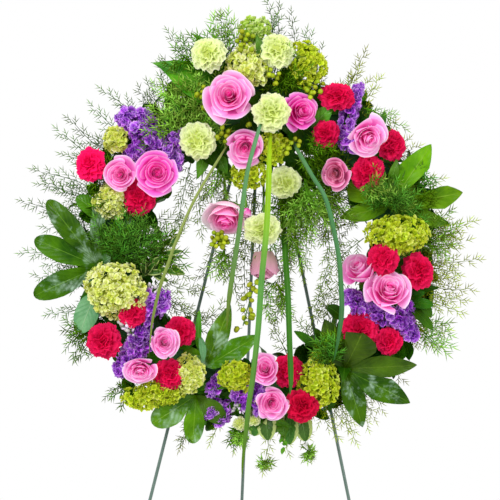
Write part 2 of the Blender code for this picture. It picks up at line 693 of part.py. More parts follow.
def build_fern_collar(easel, wreath, material):
    """The airy sprays laced round the back of the ring, as one flat fringe notched for the tie wires."""
    outer = []
    for i, (bearing, tip) in enumerate(FERN_TIPS):
        following = FERN_TIPS[(i + 1) % len(FERN_TIPS)][0]
        valley = bearing + ((following - bearing) % 360) / 2
        for angle, reach in (
            (bearing - 4.0, FERN_ROOT_RADIUS + 0.45 * (tip - FERN_ROOT_RADIUS)),
            (bearing, tip),
            (bearing + 4.0, FERN_ROOT_RADIUS + 0.45 * (tip - FERN_ROOT_RADIUS)),
            (valley, FERN_ROOT_RADIUS),
        ):
            outer.append((reach * cos(radians(angle)), reach * sin(radians(angle))))
    inner = []
    inner_radius = RING_RADIUS + FOAM_HALF_WIDTH + TRAY_WALL + 2 * GAP
    for i in range(RING_SEGMENTS):
        angle = 2 * pi * i / RING_SEGMENTS
        inner.append((inner_radius * cos(angle), inner_radius * sin(angle)))
    bm = plate([outer, inner], FERN_BACK, FERN_BACK + FERN_THICKNESS)
    collar = add_part("fern_collar", bm, material, wreath, smooth=False)
    for name, side in (("left_tie_notch", -1), ("right_tie_notch", 1)):
        middle = tie_direction(side) * (inner_radius + TIE_RADIUS)
        height = Vector((0, 0, FERN_BACK + FERN_THICKNESS / 2))
        bm = bmesh.new()
        reach = tie_direction(side) * (2 * TIE_RADIUS)
        add_tube(bm, rod_rings([middle - reach + height, middle + reach + height], 3 * TIE_RADIUS), 8)
        cut(collar, add_cutter(name, bm, easel))


def build_flowers(wreath, materials):
    """All flowers, leaves and blades. Returns the cutters of their holes in the foam."""
    kinds = [
        (ROSES, ROSE_OUTLINE, 0.0026, 10, 0.035, "pink_rose"),
        (LIME_CARNATIONS, CARNATION_OUTLINE, 0.0022, 10, 0.05, "lime_carnation"),
        (RED_CARNATIONS, CARNATION_OUTLINE, 0.0022, 10, 0.05, "red_carnation"),
    ]
    holes = []
    for table, outline, stem, sides, frill, finish in kinds:
        for name, place in table.items():
            holes.append(build_flower(name, place, outline, stem, sides, frill, materials[finish], wreath))
    for name, (*place, wide, tall) in HYDRANGEAS.items():
        holes.append(
            build_flower(name, place, HYDRANGEA_OUTLINE, 0.003, 12, 0.04, materials["lime_hydrangea"], wreath,
                         (wide, tall))
        )
    for name, (radius, points) in STOCKS.items():
        holes.append(build_stock(name, radius, points, materials["purple_stock"], wreath))
    for name, (place, lobes) in FATSIA_LEAVES.items():
        holes.append(build_leaf(name, place, lobes, materials["glossy_leaf"], wreath))
    for name, (half_width, points) in LILY_GRASS.items():
        holes.append(build_blade(name, half_width, points, materials["grass_blade"], wreath))
    return holes


def main():
    clear_scene()
    materials = make_materials()
    steel = materials["green_painted_steel"]
    easel = add_empty("easel", matrix=easel_matrix())
    wreath = add_empty("wreath", easel, Matrix.Rotation(WREATH_TURN, 4, "Z"))
    build_front_legs(easel, steel)
    build_hub(easel, steel)
    build_hook(easel, steel)
    build_brace(easel, steel)
    build_hinge(easel, steel)
    build_tray(wreath, materials["green_plastic"])
    build_ties(easel, materials["tie_wire"])
    foam = build_foam(wreath, materials["floral_foam"])
    for hole in build_flowers(wreath, materials):
        cut(foam, hole)
    build_fern_collar(easel, wreath, materials["fern"])


main()
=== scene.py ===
"""The looks of a standing funeral wreath: every flower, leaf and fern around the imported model.

Metres, but the places and lengths in the tables are in millimetres. Flowers and greenery are built in
the wreath frame: x across, y up the plane of the ring and z out of it towards the viewer, with the
origin at the middle of the ring's back. A place is given as (x, y, z): z is the height above the
ring's back, and x and y are where the viewer sees it against the plane z = 0.
"""

from functools import cache
from math import atan2, cos, hypot, pi, radians, sin, sqrt, tan

import bpy
import numpy as np
from mathutils import Matrix, Vector


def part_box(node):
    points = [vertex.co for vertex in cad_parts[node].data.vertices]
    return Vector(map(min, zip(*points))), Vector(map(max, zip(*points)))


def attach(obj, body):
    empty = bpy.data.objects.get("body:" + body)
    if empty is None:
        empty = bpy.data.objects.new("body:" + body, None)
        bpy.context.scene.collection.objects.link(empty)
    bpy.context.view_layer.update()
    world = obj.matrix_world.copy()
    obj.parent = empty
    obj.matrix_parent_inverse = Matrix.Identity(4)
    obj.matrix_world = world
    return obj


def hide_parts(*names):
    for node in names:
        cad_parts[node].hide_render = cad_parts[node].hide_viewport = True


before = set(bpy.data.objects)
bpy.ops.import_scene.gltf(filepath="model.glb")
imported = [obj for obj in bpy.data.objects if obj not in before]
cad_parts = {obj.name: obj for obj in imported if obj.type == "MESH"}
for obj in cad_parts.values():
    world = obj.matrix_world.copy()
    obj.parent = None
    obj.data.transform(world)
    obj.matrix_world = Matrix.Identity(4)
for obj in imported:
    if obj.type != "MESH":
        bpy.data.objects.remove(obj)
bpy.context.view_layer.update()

# ---- The wreath's frame, and how it is seen ----
MM = 1000  # millimetres in a metre
BODY = "wreath_and_front_legs"
LEAN = radians(10)  # the ring leans back with the front legs
WREATH_TURN = radians(1.3)  # the ring has turned a little on its hook
RING_RADIUS = 0.265  # the foam ring's centre line
FOAM_MIDDLE = 0.0278  # the foam's middle, above the ring's back
STEM_DEPTH = 0.02  # the height of the stems' cut ends in the foam
STEM_SPREAD = 0.022  # how far from the ring's centre line a stem goes in
EYE = np.array((-0.23, -0.08, 4.49))  # the viewer's eye, in the wreath frame
AIM = np.array((-0.011, -0.002, 0.0))
LENS = 175  # focal length
GOLDEN_TURN = radians(137.508)
ACROSS, UP, OUT = np.eye(3)  # directions in the wreath frame


def wreath_matrix():
    low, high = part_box("foam_ring")
    normal = Vector((0, -cos(LEAN), sin(LEAN)))
    place = Matrix.Translation((low + high) / 2 - normal * FOAM_MIDDLE)
    return place @ Matrix.Rotation(pi / 2 - LEAN, 4, "X") @ Matrix.Rotation(WREATH_TURN, 4, "Z")


WREATH = wreath_matrix()
ROW = np.array(WREATH)


def seen_at(x, y, z):
    """The point z above the ring's back that the viewer sees at x, y on the plane z = 0. All three are
    in millimetres."""
    share = z / MM / EYE[2]
    return np.array((x / MM, y / MM, 0.0)) * (1 - share) + EYE * share


def polar(radius, angle, z=0.0):
    """The point at a radius and angle round the z axis."""
    return np.array((radius * cos(angle), radius * sin(angle), z))


def randomness(name):
    """A piece's own random numbers, the same on each run."""
    return np.random.default_rng([ord(letter) for letter in name])


# ---- Numbers and directions ----
def unit(vector):
    vector = np.asarray(vector, float)
    return vector / np.linalg.norm(vector, axis=-1, keepdims=True)


def ease(x, low, high):
    """0 below low, 1 above high and smooth between them."""
    t = np.clip((x - low) / (high - low), 0, 1)
    return t * t * (3 - 2 * t)


def axes_for(direction, roll=0.0):
    """A 3x3 matrix whose third column is direction, and whose second points up as far as it can."""
    out = unit(direction)
    across = unit(np.cross(UP if abs(out[1]) < 0.95 else -OUT, out))
    up = np.cross(out, across)
    return np.stack([cos(roll) * across + sin(roll) * up, cos(roll) * up - sin(roll) * across, out], 1)


def around(axes, angle):
    """A direction at right angles to the third of the axes."""
    return axes[:, 0] * cos(angle) + axes[:, 1] * sin(angle)


def placed(points, centre, axes, size=1.0):
    return np.asarray(points).reshape(-1, 3) * size @ axes.T + centre


def spun(r, angle, z):
    """Points at radius r and angle round an axis, and z along it."""
    return np.stack([r * np.cos(angle), r * np.sin(angle), z + 0 * angle], -1)


def petal_grid(rows, columns):
    """How far along and how far across a petal each row and column is: 0 to 1, and -1 to 1."""
    return np.linspace(0, 1, rows)[:, None], np.linspace(-1, 1, columns)[None, :]


def curve_through(points, count):
    """count points along a Catmull-Rom curve through the given ones."""
    points = np.asarray(points, float)
    ends = np.concatenate([[2 * points[0] - points[1]], points, [2 * points[-1] - points[-2]]])
    where = np.linspace(0, len(points) - 1, count)
    index = np.minimum(where.astype(int), len(points) - 2)
    t = (where - index)[:, None]
    a, b, c, d = (ends[index + k] for k in range(4))
    return 0.5 * (2 * b + (c - a) * t + (2 * a - 5 * b + 4 * c - d) * t**2 + (3 * b - a - 3 * c + d) * t**3)


def travel(path):
    """The direction of travel at each point of a path."""
    return unit(np.gradient(path, axis=0))


# ---- Meshes ----
class Maker:
    """Collects patches of points and faces, in the wreath frame, for one mesh. tone is three numbers that
    materials read."""

    def __init__(self):
        self.points, self.tones, self.quads, self.tris = [], [], [], []
        self.quad_parts, self.tri_parts = [], []
        self.count = 0

    def add(self, points, faces, tone, part=0):
        """part says which of the mesh's materials the faces have."""
        points = np.asarray(points, float).reshape(-1, 3)
        faces = np.asarray(faces) + self.count
        self.points.append(points)
        self.tones.append(np.broadcast_to(np.asarray(tone, float).reshape(-1, 3), points.shape))
        if faces.shape[1] == 4:
            self.quads.append(faces)
            self.quad_parts.append(np.full(len(faces), part))
        else:
            self.tris.append(faces)
            self.tri_parts.append(np.full(len(faces), part))
        self.count += len(points)

    def mesh(self, name, materials):
        quads = np.concatenate([*self.quads, np.zeros((0, 4), int)])
        tris = np.concatenate([*self.tris, np.zeros((0, 3), int)])
        corners = np.concatenate([quads.ravel(), tris.ravel()])
        sizes = np.concatenate([np.full(len(quads), 4), np.full(len(tris), 3)])
        parts = np.concatenate([*self.quad_parts, *self.tri_parts])
        starts = np.concatenate([[0], np.cumsum(sizes)[:-1]])
        points = np.concatenate(self.points) @ ROW[:3, :3].T + ROW[:3, 3]
        mesh = bpy.data.meshes.new(name)
        mesh.vertices.add(len(points))
        mesh.vertices.foreach_set("co", points.astype(np.float32).ravel())
        mesh.loops.add(len(corners))
        mesh.loops.foreach_set("vertex_index", corners.astype(np.int32))
        mesh.polygons.add(len(sizes))
        mesh.polygons.foreach_set("loop_start", starts.astype(np.int32))
        for material in materials:
            mesh.materials.append(material)
        mesh.polygons.foreach_set("material_index", parts.astype(np.int32))
        mesh.update(calc_edges=True)
        tone = mesh.attributes.new("tone", "FLOAT_VECTOR", "POINT")
        tone.data.foreach_set("vector", np.concatenate(self.tones).astype(np.float32).ravel())
        mesh.validate()
        mesh.shade_smooth()
        return mesh


def add_piece(name, maker, finishes, replaces=()):
    """A piece that moves with the wreath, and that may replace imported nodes."""
    piece = bpy.data.objects.new(name, maker.mesh(name, [MATERIALS[finish] for finish in finishes]))
    bpy.context.scene.collection.objects.link(piece)
    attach(piece, BODY)
    if replaces:
        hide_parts(*replaces)


def build_groups(groups, add, more_finishes=()):
    """A piece for each group. add makes one thing from one row of the group."""
    for name, (finish, rows) in groups.items():
        maker = Maker()
        rng = randomness(name)
        for row in rows:
            add(maker, rng, *row)
        add_piece(name, maker, [finish, *more_finishes])


@cache
def grid_faces(rows, columns):
    """Quads of a grid of rows by columns points."""
    index = np.arange(rows * columns).reshape(rows, columns)
    return np.stack([index[:-1, :-1], index[:-1, 1:], index[1:, 1:], index[1:, :-1]], -1).reshape(-1, 4)


def add_sheet(maker, points, centre, axes, size, tone, part=0):
    """A curved sheet from a grid of points. Each of tone's three parts may vary over the grid."""
    shape = points.shape[:2]
    tone = np.stack([np.broadcast_to(value, shape) for value in tone], -1)
    maker.add(placed(points, centre, axes, size), grid_faces(*shape), tone, part)


def add_rod(maker, path, radii, sides=5, tone=(0, 0, 0), part=0):
    """A rod along a path, open at its ends."""
    path = np.asarray(path, float)
    radii = np.broadcast_to(radii, len(path))
    along = travel(path)
    across = unit(np.cross(along, ACROSS if abs(along[0][0]) < 0.9 else UP))
    up = np.cross(along, across)
    angles = np.linspace(0, 2 * pi, sides, endpoint=False)[None, :, None]
    ring = np.cos(angles) * across[:, None, :] + np.sin(angles) * up[:, None, :]
    index = np.arange(len(path) * sides).reshape(len(path), sides)
    after = np.roll(index, -1, 1)
    faces = np.stack([index[:-1], after[:-1], after[1:], index[1:]], -1).reshape(-1, 4)
    maker.add(path[:, None, :] + ring * radii[:, None, None], faces, tone, part)


def bead_shape(sides, rings):
    """A ball of radius 1 as (points, quads, triangles)."""
    heights = np.cos(np.linspace(pi, 0, rings + 1)[1:-1])
    points = [-OUT]
    for height in heights:
        points += [polar(sqrt(1 - height**2), 2 * pi * k / sides, height) for k in range(sides)]
    points.append(OUT)
    last = len(points) - 1
    top = last - sides
    quads, tris = [], []
    for k in range(sides):
        j = (k + 1) % sides
        tris += [(0, 1 + j, 1 + k), (last, top + k, top + j)]
        for low in range(1, top, sides):
            quads.append((low + k, low + j, low + sides + j, low + sides + k))
    return np.array(points), np.array(quads, int).reshape(-1, 4), np.array(tris)


def add_bead(maker, shape, centre, axes, sizes, scale, tone, part=0):
    """A ball with its own three radii, which are sizes times scale."""
    points, quads, tris = shape
    start = maker.count
    maker.add(placed(points * (np.array(sizes) * scale), centre, axes), tris, tone, part)
    maker.quads.append(quads + start)
    maker.quad_parts.append(np.full(len(quads), part))


TINY_BEAD = bead_shape(4, 2)
SMALL_BEAD = bead_shape(5, 3)
BERRY_BEAD = bead_shape(9, 6)
BEAD = bead_shape(10, 7)


# ---- Where a packed flower's head is ----
WREATH_BACK = np.array(WREATH.inverted())


def wreath_points(node):
    """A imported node's points in the wreath frame."""
    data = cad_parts[node].data
    points = np.empty(len(data.vertices) * 3)
    data.vertices.foreach_get("co", points)
    return points.reshape(-1, 3) @ WREATH_BACK[:3, :3].T + WREATH_BACK[:3, 3]


# how a bloom sits in its packed head: (move across, move up, share of its width, share of its height)
FITS = {
    "hydrangea_1": (4, -4, 0.84, 0.78), "hydrangea_2": (-8, 0, 0.95, 1),
    "hydrangea_3": (-9, -10, 0.97, 0.8), "hydrangea_4": (0, 0, 0.98, 0.88), "hydrangea_5": (0, 9, 1, 0.78),
    "hydrangea_6": (-9, -12, 0.98, 1), "lime_carnation_6": (0, 0, 1.06, 0.9),
    "red_carnation_3": (0, -1, 1.05, 0.74), "red_carnation_7": (4, -8, 1, 1.03),
    "red_carnation_8": (2, 0, 0.96, 1.06), "red_carnation_9": (10, -2, 1.15, 1.05),
    "rose_1": (0, 4, 0.9, 0.92), "rose_6": (1, -7, 0.84, 0.94), "rose_7": (1, 2, 0.82, 0.97),
    "rose_8": (4, -3, 1.16, 1.24), "rose_9": (0, 0, 1.12, 1.1), "rose_10": (2, 0, 0.84, 0.96),
    "rose_11": (0, -4, 0.98, 0.86), "rose_12": (-2, 0, 0.88, 1), "rose_13": (3, -2, 1, 1.06),
    "rose_14": (3, 1, 1.26, 1.32), "rose_15": (-2, 0, 1, 1.06),
}
FIRST_GUESS = 0.035  # a head's radius, before it is measured


def head_of(node, look, front):
    """A packed head's (middle, axes, half width, half height). front is how far its face is before its
    middle, as a share of its radius."""
    axes = axes_for((*look, 1.0))
    points = wreath_points(node) @ axes
    nearest = points[:, 2].max()
    radius = FIRST_GUESS
    for _ in range(6):
        head = points[points[:, 2] > nearest - 1.05 * radius, :2]
        middle = (head.max(0) + head.min(0)) / 2
        half = (head.max(0) - head.min(0)) / 2
        radius = half.mean()
    move_x, move_y, share_x, share_y = FITS.get(node, (0, 0, 1, 1))
    centre = axes @ np.array((*middle, nearest - front * radius)) + (move_x / MM, move_y / MM, 0.0)
    return centre, axes, half[0] * share_x, half[1] * share_y


def stem_foot(neck):
    """Where a stem that leaves a head at neck goes into the foam."""
    held = np.clip(hypot(neck[0], neck[1]), RING_RADIUS - STEM_SPREAD, RING_RADIUS + STEM_SPREAD)
    return polar(held, atan2(neck[1], neck[0]), STEM_DEPTH)


# ---- Materials ----
class Shade:
    """A material under construction: short names for the nodes that the finishes use."""

    def __init__(self, name):
        self.material = bpy.data.materials.new(name)
        self.material.use_nodes = True
        self.tree = self.material.node_tree
        self.shader = self.tree.nodes["Principled BSDF"]
        self.output = self.tree.nodes["Material Output"]

    def node(self, kind, **values):
        made = self.tree.nodes.new("ShaderNode" + kind)
        for name, value in values.items():
            setattr(made, name, value)
        return made

    def join(self, source, target):
        self.tree.links.new(source, target)

    def tone(self):
        """The mesh's own tone, as three sockets."""
        attribute = self.node("Attribute", attribute_name="tone")
        split = self.node("SeparateXYZ")
        self.join(attribute.outputs["Vector"], split.inputs[0])
        return split.outputs

    def put(self, value, socket):
        """Gives a socket a number, a colour or another node's output."""
        if isinstance(value, (int, float)):
            socket.default_value = value
        elif isinstance(value, tuple):
            socket.default_value = (*value, 1.0)
        else:
            self.join(value, socket)

    def maths(self, operation, *values, clamp=False):
        made = self.node("Math", operation=operation, use_clamp=clamp)
        for value, socket in zip(values, made.inputs):
            self.put(value, socket)
        return made.outputs[0]

    def times(self, first, second):
        return self.maths("MULTIPLY", first, second)

    def line(self, distance, width):
        """1 on a line, and 0 from width away from it."""
        return self.maths("SUBTRACT", 1.0, self.maths("DIVIDE", distance, width), clamp=True)

    def ramp(self, factor, stops):
        made = self.node("ValToRGB")
        elements = made.color_ramp.elements
        for _ in stops[2:]:
            elements.new(0.5)
        for element, (position, colour) in zip(elements, stops):
            element.position = position
            element.color = (*colour, 1.0)
        self.join(factor, made.inputs[0])
        return made.outputs[0]

    def step(self, factor, low, high, least=0.0):
        """least below low, and 1 above high."""
        return self.ramp(factor, [(low, (least, least, least)), (high, (1, 1, 1))])

    def mix(self, factor, first, second):
        made = self.node("Mix", data_type="RGBA")
        for value, index in ((factor, 0), (first, 6), (second, 7)):
            self.put(value, made.inputs[index])
        return made.outputs[2]

    def span(self, factor, low, high):
        """low where the factor is 0, and high where it is 1."""
        made = self.node("MapRange")
        made.inputs["To Min"].default_value = low
        made.inputs["To Max"].default_value = high
        self.join(factor, made.inputs[0])
        return made.outputs[0]

    def noise(self, scale, detail, roughness=0.5):
        """Noise over the object's own coordinates."""
        made = self.node("TexNoise")
        made.inputs["Scale"].default_value = scale
        made.inputs["Detail"].default_value = detail
        made.inputs["Roughness"].default_value = roughness
        self.join(self.node("TexCoord").outputs["Object"], made.inputs["Vector"])
        return made.outputs["Fac"]

    def vary(self, colour, factor, low, high, hue=0.0):
        """Makes a colour darker or lighter, and turns its hue by up to hue either way."""
        made = self.node("HueSaturation")
        self.join(self.span(factor, low, high), made.inputs["Value"])
        if hue:
            self.join(self.span(factor, 0.5 - hue, 0.5 + hue), made.inputs["Hue"])
        self.join(colour, made.inputs["Color"])
        return made.outputs[0]

    def bump(self, height, strength, distance):
        made = self.node("Bump")
        made.inputs["Strength"].default_value = strength
        made.inputs["Distance"].default_value = distance
        self.join(height, made.inputs["Height"])
        self.join(made.outputs[0], self.shader.inputs["Normal"])

    def finish(self, colour, roughness, specular, translucent=0.0):
        """translucent is the share of light that comes through from behind."""
        self.join(colour, self.shader.inputs["Base Color"])
        self.put(roughness, self.shader.inputs["Roughness"])
        self.shader.inputs["Specular IOR Level"].default_value = specular
        if translucent:
            through = self.node("BsdfTranslucent")
            self.join(colour, through.inputs[0])
            both = self.node("MixShader")
            both.inputs[0].default_value = translucent
            self.join(self.shader.outputs[0], both.inputs[1])
            self.join(through.outputs[0], both.inputs[2])
            self.join(both.outputs[0], self.output.inputs[0])
        return self.material


def petal_material(
    name, places, inner, outer, spread=(0.96, 1.02), roughness=0.6, specular=0.12, translucent=0.4, hue=0.0,
    power=1.0,
):
    """inner and outer are the colours at the places along a petal, for the heart of the flower and for
    its rim. power keeps the outer colours to the outermost petals."""
    shade = Shade(name)
    outerness, along, chance = shade.tone()
    share = shade.maths("POWER", outerness, power)
    heart = shade.ramp(along, list(zip(places[0], inner)))
    rim = shade.ramp(along, list(zip(places[1], outer)))
    colour = shade.mix(share, heart, rim)
    colour = shade.vary(colour, chance, *spread, hue=hue)
    mottle = shade.noise(260, 3)
    colour = shade.vary(colour, mottle, 0.93, 1.07)
    shade.bump(mottle, 0.25, 0.0006)
    return shade.finish(colour, roughness, specular, translucent)


VEINS = 7  # side veins on each side of a leaf's midrib


def leaf_material(
    name, dark, light, rib, roughness, edge=None, translucent=0.1, specular=0.2, bloom=0.0
):
    """A leaf with a midrib and side veins. bloom is how strong a painted sheen is: pale patches between the
    side veins, painted where highlights would fall on the glossy leaf. Tone: how far from the midrib, how far
    along, its chance."""
    shade = Shade(name)
    across, along, chance = shade.tone()
    side = shade.maths("ABSOLUTE", across)
    colour = shade.mix(shade.step(shade.noise(26, 3), 0.36, 0.66), dark, light)
    colour = shade.vary(colour, chance, 0.72, 1.28, hue=0.012)
    # side veins run forward from the midrib
    row = shade.maths("MULTIPLY_ADD", side, -0.33, along)
    saw = shade.maths("PINGPONG", shade.times(row, VEINS), 0.5)
    vein = shade.times(shade.line(saw, 0.09), 0.12)
    midrib = shade.line(side, 0.06)
    colour = shade.mix(shade.maths("MAXIMUM", vein, shade.times(midrib, 0.7)), colour, rib)
    # painted highlight: bloom lays pale sheen patches between the side veins, where the glossy leaf would
    # catch the light
    if bloom:
        sheen_patch = shade.step(shade.noise(34, 5, roughness=0.62), 0.5, 0.7)
        between = shade.step(saw, 0.05, 0.42, 0.38)
        colour = shade.mix(shade.times(shade.times(sheen_patch, between), bloom), colour, (0.42, 0.6, 0.46))
    if edge:
        margin = shade.maths("MULTIPLY_ADD", shade.noise(160, 2), 0.5, side)
        colour = shade.mix(shade.step(margin, 0.86, 0.94), colour, edge)
    # the blade swells between its side veins
    height = shade.maths("MULTIPLY_ADD", saw, 0.9, shade.noise(45, 3))
    shade.bump(shade.maths("MULTIPLY_ADD", midrib, -0.6, height), 0.5, 0.002)
    rough = shade.span(shade.noise(55, 2), roughness - 0.1, roughness + 0.16)
    return shade.finish(colour, rough, specular, translucent)


def plain_green(name, dark, light, roughness=0.5, translucent=0.1, spread=(0.75, 1.2), specular=0.15):
    """Stems, fern needles and berries: green that runs from dark to light along the tone."""
    shade = Shade(name)
    _, along, chance = shade.tone()
    colour = shade.ramp(along, [(0, dark), (1, light)])
    colour = shade.vary(colour, chance, *spread, hue=0.012)
    colour = shade.vary(colour, shade.noise(120, 2), 0.9, 1.1)
    return shade.finish(colour, roughness, specular, translucent)


def needles(name, dark, light):
    return plain_green(name, dark, light, 0.7, 0.25, (0.55, 1.45), 0.0)


def blade_material(name, stops):
    """Grass with fine veins along it. stops are its greens along its length."""
    shade = Shade(name)
    across, along, _ = shade.tone()
    stripe = shade.maths("PINGPONG", shade.times(across, 3.5), 0.5)
    fold = shade.line(shade.maths("ABSOLUTE", across), 0.14)
    colour = shade.vary(shade.ramp(along, stops), stripe, 0.8, 1.3)
    colour = shade.vary(colour, shade.noise(24, 3), 0.8, 1.2)
    colour = shade.mix(shade.times(fold, 0.12), colour, (0.3, 0.42, 0.12))
    shade.bump(stripe, 0.5, 0.0006)
    return shade.finish(colour, 0.36, 0.1, 0.08)


def foam_material():
    shade = Shade("wet_foam")
    cells = shade.noise(900, 2, roughness=0.7)
    colour = shade.mix(shade.noise(30, 3), (0.02, 0.09, 0.025), (0.04, 0.15, 0.04))
    colour = shade.vary(colour, cells, 0.6, 1.3)
    shade.bump(cells, 0.9, 0.001)
    return shade.finish(colour, 0.95, 0.2)


def tray_material():
    """Pebbled plastic with pale scuffs and damp blotches."""
    shade = Shade("moulded_tray")
    grain = shade.noise(900, 3)
    colour = shade.mix(shade.noise(14, 4), (0.01, 0.058, 0.02), (0.026, 0.115, 0.038))
    scuffs = shade.step(shade.noise(55, 5, roughness=0.72), 0.56, 0.72)
    colour = shade.mix(shade.times(scuffs, 0.5), colour, (0.1, 0.2, 0.11))
    colour = shade.vary(colour, grain, 0.82, 1.16)
    shade.bump(grain, 0.6, 0.0006)
    return shade.finish(colour, 0.5, 0.35)


def wire_material(name, paint, worn, roughness):
    """Painted wire: slightly uneven paint, with dull flecks."""
    shade = Shade(name)
    flecks = shade.step(shade.noise(420, 4, roughness=0.65), 0.6, 0.7)
    colour = shade.mix(flecks, paint, worn)
    colour = shade.vary(colour, shade.noise(60, 2), 0.85, 1.15)
    shade.bump(shade.noise(700, 3), 0.3, 0.0003)
    return shade.finish(colour, roughness, 0.5)


